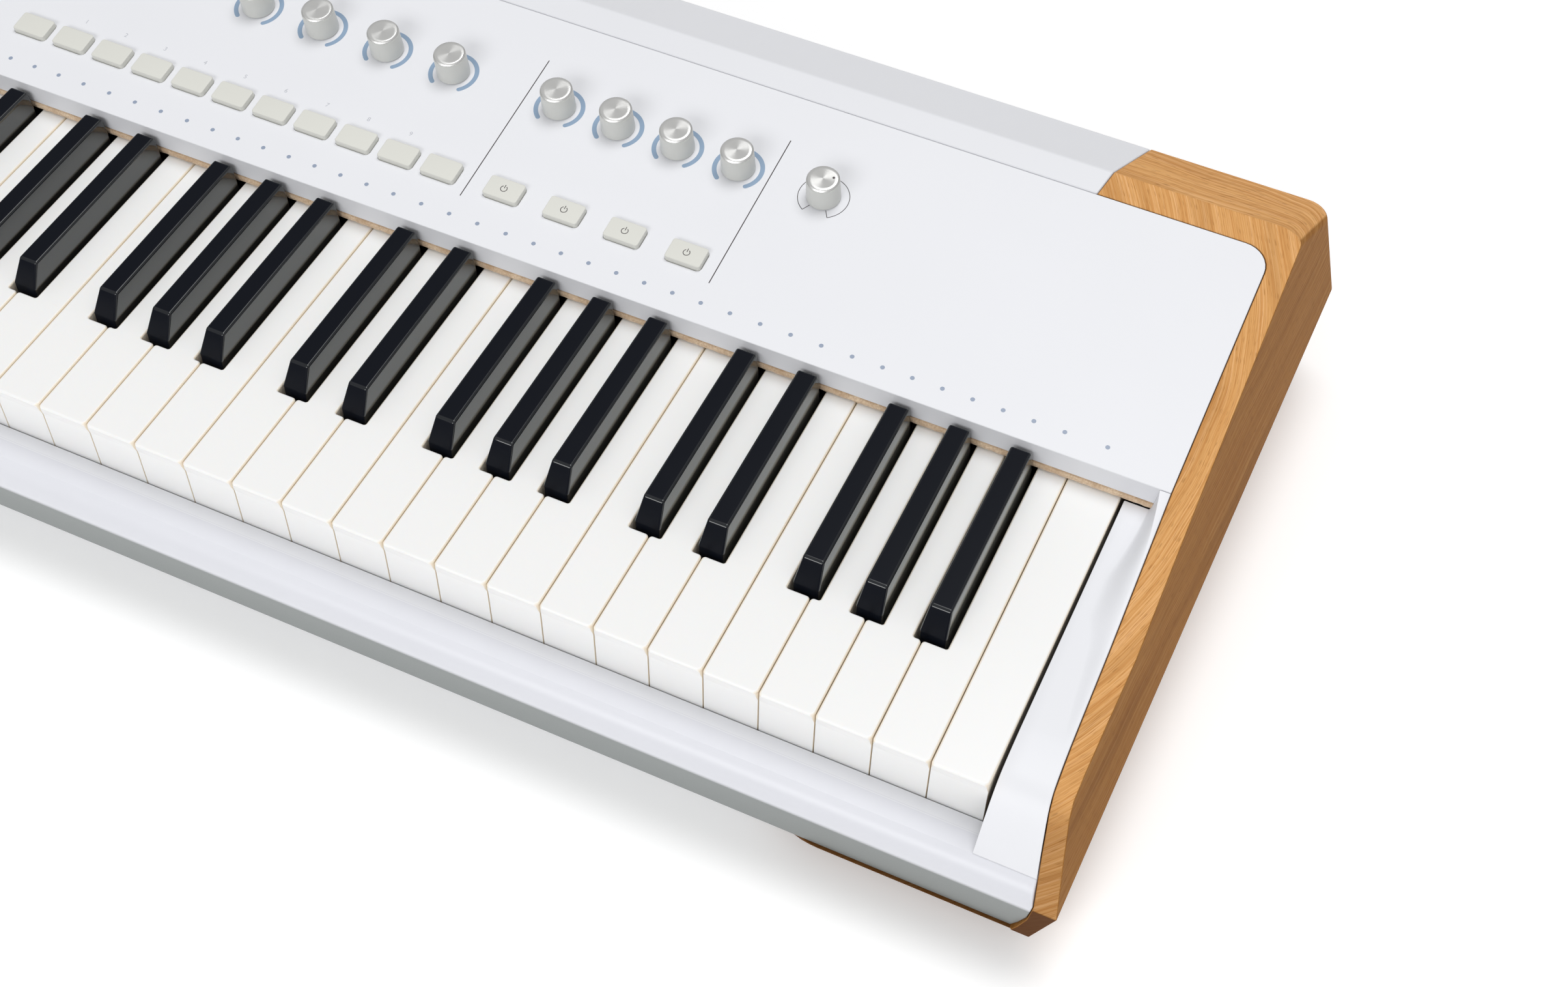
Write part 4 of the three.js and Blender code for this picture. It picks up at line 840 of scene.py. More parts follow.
def cheek_section(run):
    """The block's outline at one place along it, as (x, z), from the foot beside the keys."""
    line = line_height(run)
    base, rim = min(line, 0.0), max(line, 0.0)
    risen = rim / PANEL_FRONT_HEIGHT
    near_panel = share_of((risen - 0.55) / 0.45) ** 2
    sweep = 2.5 + 9 * share_of((1 - risen) / 0.45) * min(risen / 0.3, 1)
    outer = BODY_END + 0.02 * (PANEL_FRONT - run) - 0.3 - 0.19 * base
    crest = outer - 0.9 - 3.7 * near_panel
    foot = crest - sweep
    flat = CHEEK_INNER + 0.5
    spots = [(CHEEK_INNER, -0.5), (CHEEK_INNER + 0.15, -0.15), (flat, 0.0)]
    spots += [(flat + (foot - flat) * i / 3, 0.0) for i in (1, 2, 3)]
    for i in range(1, 17):
        out = 1 - (1 - i / 16) ** 1.6
        soft, steep = out * out * (3 - 2 * out), out * out
        spots.append((foot + sweep * out, rim * (soft + (steep - soft) * near_panel)))
    spots += [(crest + 0.25, rim), (outer - 0.4, rim), (outer - 0.1, rim - 0.12), (outer, rim - 0.4)]
    bottom = min(CHEEK_BOTTOM, base - 0.6)
    return [(CHEEK_INNER, bottom)] + [(x, base + z) for x, z in spots] + [(outer, bottom)]


def cheek_block(name, way):
    """The block on one side. way is -1 for the left and 1 for the right."""
    shape = bmesh.new()
    rings = []
    for row in range(CHEEK_ROWS + 1):
        run = CHEEK_FRONT + (CHEEK_REAR - CHEEK_FRONT) * row / CHEEK_ROWS
        rings.append([shape.verts.new(at(way * x, run, z)) for x, z in cheek_section(run)])
    joined(shape, rings)
    bmesh.ops.recalc_face_normals(shape, faces=shape.faces)
    shape.normal_update()
    # Painted shadow: the face beside the keys takes the near-black finish.
    for face in shape.faces:
        if way * face.normal.x < -0.99:
            face.material_index = 1
    return meshed(name, shape, panel_white, shadow_gap)


for side, way in (("left", -1), ("right", 1)):
    mesh = cheek_block(f"cheek_{side}", way)
    piece(f"cheek_{side}", mesh, HOUSING, "cream_white_plastic", f"cheek_block_{side}")
    print(f"cheek_{side}", len(mesh.polygons), "faces")

# %% [markdown]
# The felt strip is cut from a sheet, and its cut edges are never straight. A grid of points along the
# strip is pushed in and out by a noise that has nothing random in it, so it comes out alike each time.

# %% Felt strip
FELT_STEP = 1.5
FELT_NAP = 0.12


def felt_strip():
    low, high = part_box("key_felt")
    middle = (low + high) / 2
    columns = round((high.x - low.x) / (FELT_STEP * MM))
    square = filleted([(0, 0, 0.4), (1, 0, 0.4), (1, 1, 0.4), (0, 1, 0.4)], steps=2)
    section = [(low.y + p.x * (high.y - low.y), low.z + p.y * (high.z - low.z)) for p in square]
    shape = bmesh.new()
    rings = []
    for column in range(columns + 1):
        x = low.x + (high.x - low.x) * column / columns
        ring = []
        for i, (y, z) in enumerate(section):
            shake = math.sin(column * 1.7 + i * 2.1) * math.sin(column * 0.37 + i * 5.3)
            inwards = Vector((0, middle.y - y, middle.z - z)).normalized()
            ring.append(shape.verts.new(Vector((x, y, z)) + inwards * FELT_NAP * MM * (1 + shake)))
        rings.append(ring)
    joined(shape, rings)
    bmesh.ops.recalc_face_normals(shape, faces=shape.faces)
    return meshed("felt_strip", shape, felt)


strip = piece("felt_strip", felt_strip(), HOUSING, "tan_felt", "key_felt")
print("felt strip:", len(strip.data.polygons), "faces")

# %% [markdown]
# Now the keyboard, which is all rule. Twelve notes share the width of seven white keys: the lower five
# are a little wider than the upper seven, and each black key and each lamp stands at its note's middle.
# A white key's head is as wide as any other's, and its tail is what the black keys beside it leave, so
# there are seven shapes of white key, and two more for the ends of the keyboard. Each is sawn from its
# plan, kept within its side view, and its top edges are rolled over.

# %% The shapes of white keys
KEY_GAP = 0.4
KEY_HEAD = 49.8
KEY_REAR = 219
KEY_EDGE = 0.95
KEY_LIP = 1.3
KEY_LIP_DEPTH = 6.5
NOTCH_WIDTH = 14.3
BLACK_NOTES = (1, 3, 6, 8, 10)
WHITE_NOTES = (0, 2, 4, 5, 7, 9, 11)
NARROW_SEMITONE = (7 * KEY_PITCH - 5 * WIDE_SEMITONE) / 7
KEY_SIDE = [
    (KEY_LIP, -37), (12, -37), (12, -36), (16, -16), (KEY_REAR + 1, -16), (KEY_REAR + 1, -4),
    (164, -4), (160, 1), (-1, 1), (-1, -KEY_EDGE), (0, -KEY_EDGE), (KEY_LIP, -KEY_LIP_DEPTH),
]


def note_middle(note):
    """The middle of a note of the octave, from the octave's left edge."""
    if note < 5:
        return WIDE_SEMITONE * (note + 0.5)
    return 5 * WIDE_SEMITONE + NARROW_SEMITONE * (note - 4.5)


def white_key_shape(name, index, black_below, black_above):
    """One white key, with its front left corner at the origin."""
    note = WHITE_NOTES[index]
    octave_left = -index * KEY_PITCH
    left, right = KEY_GAP / 2, KEY_PITCH - KEY_GAP / 2
    tail_left = octave_left + note_middle(note - 1) + NOTCH_WIDTH / 2 if black_below else left
    tail_right = octave_left + note_middle(note + 1) - NOTCH_WIDTH / 2 if black_above else right
    corners = [(left, 0, 1.6), (right, 0, 2.1)]
    if black_above:
        corners += [(right, KEY_HEAD, 1.5), (tail_right, KEY_HEAD, 0.9)]
    corners += [(tail_right, KEY_REAR), (tail_left, KEY_REAR)]
    if black_below:
        corners += [(tail_left, KEY_HEAD, 0.9), (left, KEY_HEAD, 1.5)]
    blank = meshed(name, extruded(filleted(corners), -36, 0), key_white)
    keep = meshed("keep", extruded(KEY_SIDE, -1, KEY_PITCH + 1, LENGTHWISE))
    shape = bmesh.new()
    shape.from_mesh(boolean(blank, keep, "INTERSECT"))
    bmesh.ops.remove_doubles(shape, verts=shape.verts, dist=0.01 * MM)
    rim = [edge for edge in shape.edges if heights(edge)[0] > -0.01 and edge.calc_face_angle(0) > 1]
    rolled(shape, rim, KEY_EDGE, 4)
    return meshed(name, shape, key_white)


white_shapes = [(i, note - 1 in BLACK_NOTES, note + 1 in BLACK_NOTES) for i, note in enumerate(WHITE_NOTES)]
lowest_shape, highest_shape = (5, False, True), (0, False, False)
shape_store = bpy.data.collections.new("white_key_shapes")
for number, how in enumerate([*white_shapes, lowest_shape, highest_shape]):
    name = f"shape_{number}"
    shape_store.objects.link(bpy.data.objects.new(name, white_key_shape(name, *how)))

# %% [markdown]
# Geometry Nodes lay the keys out, because that is what they are good at: a rule that says where the
# next one goes. The first helper makes a tree with named inputs, the second closes it with plain
# geometry in one material, and the third runs it and keeps the result as a plain mesh.

# %% Helpers for Geometry Nodes
def geometry_tree(name, inputs, outputs=None):
    """A tree with these named inputs, and the sockets of its input node."""
    tree = bpy.data.node_groups.new(name, "GeometryNodeTree")
    for label, kind in inputs.items():
        tree.interface.new_socket(label, in_out="INPUT", socket_type="NodeSocket" + kind)
    for label, kind in (outputs or {"Geometry": "Geometry"}).items():
        tree.interface.new_socket(label, in_out="OUTPUT", socket_type="NodeSocket" + kind)
    return tree, tree.nodes.new("NodeGroupInput").outputs


def ended(tree, instances, material):
    """Ends a tree in plain geometry with one material."""
    real = add(tree, "GeometryNodeRealizeInstances", {"Geometry": instances})
    painted = add(tree, "GeometryNodeSetMaterial", {"Geometry": real, "Material": material})
    add(tree, "NodeGroupOutput", {"Geometry": painted})


def grown(name, tree, values):
    """What a tree makes from these values, as a plain mesh."""
    holder = bpy.data.objects.new(name, bpy.data.meshes.new(name))
    modifier = holder.modifiers.new(name, "NODES")
    modifier.node_group = tree
    for socket in tree.interface.items_tree:
        if socket.in_out == "INPUT" and socket.name in values:
            modifier[socket.identifier] = values[socket.name]
    mesh = baked(holder)
    mesh.shade_smooth()
    mesh.set_sharp_from_angle(angle=math.radians(35))
    return settled(mesh, ("WEIGHTED_NORMAL", {"keep_sharp": True}))


print("the rows will cover", NOTES, "notes from note", FIRST_NOTE, "of the first octave")

# %% [markdown]
# The white keys. The tree makes a row of points a key's pitch apart, and puts at each the shape that
# its note calls for: a key's number, counted in sevens from C, is the number of its shape. The first
# and the last key of the keyboard have a shape of their own. The lower keys are one piece, and each of
# the upper ones, which can be played, is the same tree's row of one.

# %% White keys
SHAPE_RULE = [
    ("number", "ADD", "Index", "First key"),
    ("from C", "ADD", "number", 5.0),
    ("letter", "MODULO", "from C", 7.0),
    ("is lowest", "COMPARE", "number", 0.0),
    ("is highest", "COMPARE", "number", float(WHITE_KEYS - 1)),
]


def white_row_tree():
    tree, given = geometry_tree("white_key_row", {
        "Start": "Vector",
        "Pitch": "Float",
        "First key": "Int",
        "Keys": "Int",
        "Last shape": "Int",
        "Shapes": "Collection",
        "Finish": "Material",
    })
    step = add(tree, "ShaderNodeCombineXYZ", {"X": given["Pitch"]})
    start = add(tree, "ShaderNodeVectorMath", {0: step, "Scale": given["First key"]}, operation="SCALE")
    start = add(tree, "ShaderNodeVectorMath", {0: given["Start"], 1: start}, operation="ADD")
    line = {"Count": given["Keys"], "Start Location": start, "Offset": step}
    line = add(tree, "GeometryNodeMeshLine", line, mode="OFFSET")
    known = {"Index": add(tree, "GeometryNodeInputIndex"), "First key": given["First key"]}
    for name, operation, *parts in SHAPE_RULE:
        sockets = {i: known.get(part, part) for i, part in enumerate(parts)}
        known[name] = add(tree, "ShaderNodeMath", sockets, operation=operation)
    choice = {"Factor": known["is lowest"], 2: known["letter"], 3: 7.0}
    choice = add(tree, "ShaderNodeMix", choice)
    choice = {"Factor": known["is highest"], 2: choice, 3: given["Last shape"]}
    choice = add(tree, "ShaderNodeMix", choice)
    shapes = {"Collection": given["Shapes"], "Separate Children": True, "Reset Children": True}
    shapes = add(tree, "GeometryNodeCollectionInfo", shapes)
    row = {"Points": line, "Instance": shapes, "Pick Instance": True, "Instance Index": choice}
    row = add(tree, "GeometryNodeInstanceOnPoints", row)
    ended(tree, row, given["Finish"])
    return tree


def white_keys(name, tree, first, count):
    return grown(name, tree, {
        "Start": at(-KEYBOARD_END, 0, 0),
        "Pitch": KEY_PITCH * MM,
        "First key": first,
        "Keys": count,
        "Last shape": 8,
        "Shapes": shape_store,
        "Finish": key_white,
    })


white_row = white_row_tree()
moving_keys = sorted((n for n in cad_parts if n.startswith("key_") and n[4].isdigit()), key=across)
moving_whites = [node for node in moving_keys if "sharp" not in node]
moving_blacks = [node for node in moving_keys if "sharp" in node]
fixed_whites = WHITE_KEYS - len(moving_whites)
fixed_row = white_keys("white_key_row", white_row, 0, fixed_whites)
piece("white_key_row", fixed_row, HOUSING, "key_white_plastic", "white_keys")
for offset, node in enumerate(moving_whites):
    mesh = white_keys(node, white_row, fixed_whites + offset, 1)
    piece("white_" + node, mesh, node, "key_white_plastic", node)
print("white keys:", fixed_whites, "fixed and", len(moving_whites), "moving")

# %% [markdown]
# A black key is a small wedge: its sides lean in, its front slopes back, and every edge is rounded so
# that a finger slides over it. Three rings of four corners give the wedge, and a bevel rounds it. Its
# foot goes down between the white keys, and a narrow tail carries it to the rear.

# %% Black key shape
BLACK_FRONT = KEY_HEAD + 2.2
BLACK_REAR = 146.2
BLACK_FOOT = -14
BLACK_SHOULDER = 1.7
BLACK_TOP = 12
BLACK_FOOT_WIDTH = 11.4
BLACK_TOP_WIDTH = 9.0
BLACK_SLOPE = 6.6
BLACK_EDGE = 1.1
BLACK_TAIL = [(-4.7, 139), (4.7, 139), (4.7, 204), (-4.7, 204)]


def black_key_shape():
    """One black key, with the middle of the keyboard's front edge under it as its origin."""
    levels = [
        (BLACK_FOOT_WIDTH, BLACK_FRONT, BLACK_REAR, BLACK_FOOT),
        (BLACK_FOOT_WIDTH, BLACK_FRONT, BLACK_REAR, BLACK_SHOULDER),
        (BLACK_TOP_WIDTH, BLACK_FRONT + BLACK_SLOPE, BLACK_REAR - 0.6, BLACK_TOP),
    ]
    shape = bmesh.new()
    rings = []
    for width, near, rear, z in levels:
        corners = [(-width / 2, near), (width / 2, near), (width / 2, rear), (-width / 2, rear)]
        rings.append([shape.verts.new((x * MM, y * MM, z * MM)) for x, y in corners])
    joined(shape, rings)
    rolled(shape, [edge for edge in shape.edges if heights(edge)[1] > 2], BLACK_EDGE, 5)
    upright = []
    for edge in shape.edges:
        low, high = heights(edge)
        if edge.calc_face_angle(0) > 1 and low < -13 and 0 < high < 2:
            upright.append(edge)
    rolled(shape, upright, BLACK_EDGE, 4)
    front = meshed("front", shape, key_black)
    tail = meshed("tail", extruded(BLACK_TAIL, -16, -4.3), key_black)
    return combined("black_shape", front, tail)


black_shape = black_key_shape()
print("a black key has", len(black_shape.polygons), "faces")

# %% [markdown]
# What stands at every note follows one rule, so the rule is a group of its own: it says where a
# note's middle is, and whether the note is black. The steps are listed by name. A note's place in its
# octave tells whether it is one of the lower five, and there the odd notes are black, but above them
# the even ones. The tree that uses the group walks through the notes and puts one shape at each.

# %% Rows that follow the notes
NOTE_RULE = [
    ("octaves", "DIVIDE", "Note", 12.0),
    ("octave", "FLOOR", "octaves"),
    ("notes below", "MULTIPLY", "octave", 12.0),
    ("note", "SUBTRACT", "Note", "notes below"),
    ("octave width", "MULTIPLY", "Pitch", 7.0),
    ("lower width", "MULTIPLY", "Wide semitone", 5.0),
    ("upper width", "SUBTRACT", "octave width", "lower width"),
    ("narrow semitone", "DIVIDE", "upper width", 7.0),
    ("half on", "ADD", "note", 0.5),
    ("middle if low", "MULTIPLY", "Wide semitone", "half on"),
    ("past the lower", "SUBTRACT", "note", 4.5),
    ("upper run", "MULTIPLY", "narrow semitone", "past the lower"),
    ("middle if high", "ADD", "lower width", "upper run"),
    ("is low", "LESS_THAN", "note", 5.0),
    ("odd", "MODULO", "note", 2.0),
    ("black", "COMPARE", "odd", "is low"),
    ("octave start", "MULTIPLY", "octave", "octave width"),
]


def note_place_tree():
    """A group that says where a note's middle is, and whether the note is black."""
    inputs = {"Note": "Int", "Pitch": "Float", "Wide semitone": "Float"}
    tree, given = geometry_tree("note_place", inputs, {"Middle": "Float", "Black": "Bool"})
    known = {name: given[name] for name in inputs}
    for name, operation, *parts in NOTE_RULE:
        sockets = {i: known.get(part, part) for i, part in enumerate(parts)}
        known[name] = add(tree, "ShaderNodeMath", sockets, operation=operation)
    middle = {"Factor": known["is low"], 2: known["middle if high"], 3: known["middle if low"]}
    middle = add(tree, "ShaderNodeMix", middle)
    middle = add(tree, "ShaderNodeMath", {0: middle, 1: known["octave start"]}, operation="ADD")
    add(tree, "NodeGroupOutput", {"Middle": middle, "Black": known["black"]})
    return tree


def note_row_tree(name, only_black):
    """A tree that puts one shape at each note, or at each black note only."""
    tree, given = geometry_tree(name, {
        "Start": "Vector",
        "Pitch": "Float",
        "Wide semitone": "Float",
        "First note": "Int",
        "Notes": "Int",
        "Shape": "Object",
        "Finish": "Material",
    })
    line = add(tree, "GeometryNodeMeshLine", {"Count": given["Notes"]}, mode="OFFSET")
    index = add(tree, "GeometryNodeInputIndex")
    note = add(tree, "ShaderNodeMath", {0: index, 1: given["First note"]}, operation="ADD")
    rule = add(tree, "GeometryNodeGroup", node_tree=note_place)
    feed(rule, {"Note": note, "Pitch": given["Pitch"], "Wide semitone": given["Wide semitone"]})
    spot = add(tree, "ShaderNodeCombineXYZ", {"X": rule.outputs["Middle"]})
    spot = add(tree, "ShaderNodeVectorMath", {0: given["Start"], 1: spot}, operation="ADD")
    placed = add(tree, "GeometryNodeSetPosition", {"Geometry": line, "Position": spot})
    shape = add(tree, "GeometryNodeObjectInfo", {"Object": given["Shape"]}).outputs["Geometry"]
    row = {"Points": placed, "Instance": shape}
    if only_black:
        row["Selection"] = rule.outputs["Black"]
    row = add(tree, "GeometryNodeInstanceOnPoints", row)
    ended(tree, row, given["Finish"])
    return tree


def note_row(name, tree, shape, start, first, count, finish):
    """One shape at each of these notes, as a plain mesh."""
    holder = bpy.data.objects.new(name + "_shape", shape)
    mesh = grown(name, tree, {
        "Start": start,
        "Pitch": KEY_PITCH * MM,
        "Wide semitone": WIDE_SEMITONE * MM,
        "First note": first,
        "Notes": count,
        "Shape": holder,
        "Finish": finish,
    })
    bpy.data.objects.remove(holder)
    return mesh


note_place = note_place_tree()
black_row = note_row_tree("black_key_row", True)
lamp_row = note_row_tree("key_lamp_row", False)
print("the rule of the notes has", len(NOTE_RULE), "steps")

# %% [markdown]
# The black keys. The tree walks through all notes from the lowest and drops the white ones. The lower
# keys are one piece, and each of the upper ones, which can be played, is a row of one note.

# %% Black keys
OCTAVE_ZERO = -KEYBOARD_END - 5 * KEY_PITCH
FIRST_MOVING_NOTE = 84
fixed_notes = FIRST_MOVING_NOTE - FIRST_NOTE
black_start = at(OCTAVE_ZERO, 0, 0)
row_notes = (FIRST_NOTE, fixed_notes)
fixed_row = note_row("black_key_row", black_row, black_shape, black_start, *row_notes, key_black)
piece("black_key_row", fixed_row, HOUSING, "key_black_plastic", "black_keys")
for node, note in zip(moving_blacks, BLACK_NOTES):
    mesh = note_row(node, black_row, black_shape, black_start, FIRST_MOVING_NOTE + note, 1, key_black)
    piece("black_" + node, mesh, node, "key_black_plastic", node)
print("black keys:", len(moving_blacks), "moving")

# %% [markdown]
# Above every key a lamp shows through the panel as a small grey-blue dot, at the middle of its note.
# The tree that laid out the black keys does this too, with all the notes kept and a dot as its shape.
# Only the top key, which has no black key above it and so a wide tail, has its lamp at its own middle.

# %% Key lamps
LAMP_SLOPE = 10.25
LAMP_RADIUS = 1.0
PRINT_HEIGHT = 0.05
LAMP_PROFILE = [(0, 0), (LAMP_RADIUS, 0), (LAMP_RADIUS, PRINT_HEIGHT), (0, PRINT_HEIGHT)]

lamp_shape = meshed("lamp", lathed(LAMP_PROFILE, 20))
lamp_start = Vector((OCTAVE_ZERO, LAMP_SLOPE, 0)) * MM
lamps = note_row("key_lamps", lamp_row, lamp_shape, lamp_start, FIRST_NOTE, NOTES - 1, key_lamp)
lamps.transform(panel_frame)
top_place = on_panel(KEYBOARD_END - KEY_PITCH / 2, LAMP_SLOPE)
top_lamp = meshed("top_lamp", lathed(LAMP_PROFILE, 20, top_place), key_lamp)
piece("key_lamps", combined("key_lamps", lamps, top_lamp), HOUSING, "cream_white_plastic")
print("key lamps:", NOTES)

# %% [markdown]
# The push buttons are soft-edged bricks that stand a little above the panel. Each has a flange under
# the panel that keeps it from falling out, which doesn't show, so only a plain skirt goes down into
# the hole. The rim of the top is rolled over, and the sides stay straight, as the mould leaves them.

# %% Buttons
BUTTON_SLOPE = 30.3
BUTTON_WIDTH = 17
BUTTON_DEPTH = 10.8
BUTTON_HEIGHT = 2.5
BUTTON_SKIRT = -5.3
BUTTON_CORNER = 1.3
BUTTON_EDGE = 0.5


def rounded_box(width, depth, radius):
    """The outline of a rectangle with round corners, about the origin."""
    x, y = width / 2, depth / 2
    return filleted([(-x, -y, radius), (x, -y, radius), (x, y, radius), (-x, y, radius)])


def button_mesh(name, place):
    shape = extruded(rounded_box(BUTTON_WIDTH, BUTTON_DEPTH, BUTTON_CORNER), BUTTON_SKIRT, BUTTON_HEIGHT)
    rolled(shape, [edge for edge in shape.edges if heights(edge)[0] > BUTTON_HEIGHT - 0.01], BUTTON_EDGE, 5)
    shape.transform(place)
    return meshed(name, shape, button_cream)


button_nodes = [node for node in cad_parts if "_button_" in node]
for node in button_nodes:
    mesh = button_mesh(node, on_panel(across(node), BUTTON_SLOPE))
    piece(node + "_cap", mesh, node, "button_plastic", node)
print("buttons:", len(button_nodes))

# %% [markdown]
# What is printed on the panel is a thin layer of ink, so each mark is a flat shape a twentieth of a
# millimetre thick. A band along an arc, with round ends, serves the lamp windows round the knobs, the
# line round the volume knob and the power signs. A bar serves straight lines, and a digit is text
# made a mesh before it is put in its place.

# %% Helpers for printed marks
def arc(centre, radius, start, end, steps):
    """Points along an arc, in equal steps. Angles in radians, anticlockwise from +X."""
    turns = [start + (end - start) * i / steps for i in range(steps + 1)]
    return [(centre[0] + radius * math.cos(a), centre[1] + radius * math.sin(a)) for a in turns]


def arc_band(radius, width, start, end):
    """A flat band along an arc, with round ends. Angles in degrees."""
    first, last, half = math.radians(start), math.radians(end), width / 2
    head = (radius * math.cos(last), radius * math.sin(last))
    foot = (radius * math.cos(first), radius * math.sin(first))
    points = arc((0, 0), radius + half, first, last, 64)
    points += arc(head, half, last, last + math.pi, 8)[1:-1]
    points += arc((0, 0), radius - half, last, first, 64)
    points += arc(foot, half, first + math.pi, first + 2 * math.pi, 8)[1:-1]
    return extruded(points, 0, PRINT_HEIGHT)


def bar(x0, y0, x1, y1, width):
    """A flat straight bar between two points."""
    start, end = Vector((x0, y0)), Vector((x1, y1))
    along = (end - start).normalized() * width / 2
    sideways = Vector((-along.y, along.x))
    return extruded([start - sideways, end - sideways, end + sideways, start + sideways], 0, PRINT_HEIGHT)


def marked(name, material, place, *shapes):
    """Flat shapes as one mesh, put in its place."""
    mesh = combined(name, *[meshed(name, shape, material) for shape in shapes])
    mesh.transform(place)
    return mesh


def written(text, size, material, place):
    """A short text as a flat mesh, its middle at the place."""
    curve = bpy.data.curves.new("mark_" + text, "FONT")
    curve.body = text
    curve.size = size * MM
    curve.align_x = "CENTER"
    curve.align_y = "CENTER"
    curve.extrude = PRINT_HEIGHT * MM / 2
    mesh = baked(bpy.data.objects.new("mark", curve))
    mesh.materials.clear()
    mesh.materials.append(material)
    mesh.transform(place)
    return mesh


print("ink is", PRINT_HEIGHT, "mm thick")

# %% [markdown]
# Behind nine of the buttons the panel has a pale digit, a little to the left of the button's middle,
# and two fine dark lines part the groups of controls.

# %% Digits and ruled lines
DIGIT_SLOPE = 43.1
DIGIT_SIZE = 3.3
DIGIT_SHIFT = 1.4
SEPARATOR_FOOT = 21
SEPARATOR_HEAD = 105.9
SEPARATOR_WIDTH = 0.45
SEPARATORS = (293.3, 415.0)

digits = []
for number in range(1, 10):
    x = across(f"category_button_{number + 1}") - DIGIT_SHIFT
    digits.append(written(str(number), DIGIT_SIZE, grey_ink, on_panel(x, DIGIT_SLOPE)))
piece("button_numbers", combined("button_numbers", *digits), HOUSING, "cream_white_plastic")
lines = [bar(x, SEPARATOR_FOOT, x, SEPARATOR_HEAD, SEPARATOR_WIDTH) for x in SEPARATORS]
piece("separators", marked("separators", dark_ink, panel_frame, *lines), HOUSING, "cream_white_plastic")
print("digits:", len(digits), "and lines:", len(lines))

# %% [markdown]
# The power sign on the four effect buttons moves with its button, so each is a piece of its own: an
# arc that leaves a gap at the top, and a bar that stands in the gap.

# %% Power signs
SIGN_RADIUS = 1.5
SIGN_LINE = 0.32
effect_buttons = [node for node in button_nodes if node.startswith("effect")]
for number, node in enumerate(sorted(effect_buttons), 1):
    ring = arc_band(SIGN_RADIUS, SIGN_LINE, 125, 415)
    stroke = bar(0, 0.3, 0, SIGN_RADIUS + 0.7, SIGN_LINE)
    sign = marked("power_sign", dark_ink, on_panel(across(node), BUTTON_SLOPE, BUTTON_HEIGHT), ring, stroke)
    piece(f"power_sign_{number}", sign, node, "button_plastic")
print("power signs:", len(effect_buttons))

# %% [markdown]
# A knob is two parts pressed together: a plastic skirt that the fingers hold, a little narrower at the
# top, and a turned aluminium cap with a polished bevel. Both come from one profile on the lathe, and
# the stretch of profile says which of the two finishes a face has.

# %% Knobs
KNOB_SLOPE = 82.6
KNOB_PROFILE = [
    (0, -9), (2.7, -9), (2.7, 0.4), (7.4, 0.4), (7.62, 0.55), (7.7, 0.9), (7.64, 4), (7.46, 11.5),
    (7.42, 11.85), (7.3, 12.0), (7.2, 12.02), (7.2, 12.1), (7.33, 12.14), (7.35, 12.3), (6.72, 12.93),
    (6.6, 13.0), (5.2, 13.0), (3.6, 13.0), (2.0, 13.0), (0.7, 13.0), (0, 13.0),
]
SKIRT_STRETCHES = 11
CAP_STRETCHES = len(KNOB_PROFILE) - 1 - SKIRT_STRETCHES

knob_nodes = [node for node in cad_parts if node.endswith("_knob") or "_knob_" in node]
for node in knob_nodes:
    finishes = [0] * SKIRT_STRETCHES + [1] * CAP_STRETCHES
    shape = lathed(KNOB_PROFILE, 72, on_panel(across(node), KNOB_SLOPE), finishes)
    piece(node + "_turned", meshed(node, shape, skirt_grey, aluminium), node, "knob_aluminium", node)
print("knobs:", len(knob_nodes))

# %% [markdown]
# Round each endless knob a smoked window covers a row of lamps, which are off. It is one arc that
# leaves a gap at the front. The volume knob has no lamps but stops, so a thin line shows how far it
# turns, with an end that points at the knob at either stop, and a dot on the cap is its pointer.

# %% Lamp windows and the volume line
WINDOW_RADIUS = 10.75
WINDOW_WIDTH = 2.1
VOLUME_RADIUS = 11.46
VOLUME_INNER = 7.6
VOLUME_LINE = 0.3
VOLUME_FROM = -59
VOLUME_TO = 239.2
DOT_ANGLE = math.radians(25.1)
DOT_REACH = 4.67
DOT_PROFILE = [(0, 0), (0.6, 0), (0.6, 0.02), (0, 0.02)]

for node in knob_nodes:
    if node != "volume_knob":
        band = arc_band(WINDOW_RADIUS, WINDOW_WIDTH, -49, 232)
        window = marked("window", lamp_window, on_panel(across(node), KNOB_SLOPE), band)
        piece(node + "_window", window, HOUSING, "cream_white_plastic")

volume_x = across("volume_knob")
strokes = [arc_band(VOLUME_RADIUS, VOLUME_LINE, VOLUME_FROM, VOLUME_TO)]
for angle in (math.radians(VOLUME_FROM), math.radians(VOLUME_TO)):
    outwards = Vector((math.cos(angle), math.sin(angle)))
    strokes.append(bar(*outwards * VOLUME_RADIUS, *outwards * VOLUME_INNER, VOLUME_LINE))
line = marked("volume_line", dark_ink, on_panel(volume_x, KNOB_SLOPE), *strokes)
piece("volume_line", line, HOUSING, "cream_white_plastic")
dot_x = volume_x + DOT_REACH * math.cos(DOT_ANGLE)
dot_slope = KNOB_SLOPE + DOT_REACH * math.sin(DOT_ANGLE)
dot = lathed(DOT_PROFILE, 24, on_panel(dot_x, dot_slope, 12.99))
piece("volume_dot", meshed("volume_dot", dot, dark_ink), "volume_knob", "knob_aluminium")
print("the volume line goes round", round(VOLUME_TO - VOLUME_FROM), "degrees")

# %% [markdown]
# Left of the buttons is the round display, with a dial round it that turns without a stop. The glass
# is dark while the instrument is off. The dial is turned from aluminium, and its side is knurled, so
# that fingers grip it: a tree puts one small rib at each of many points round a circle.

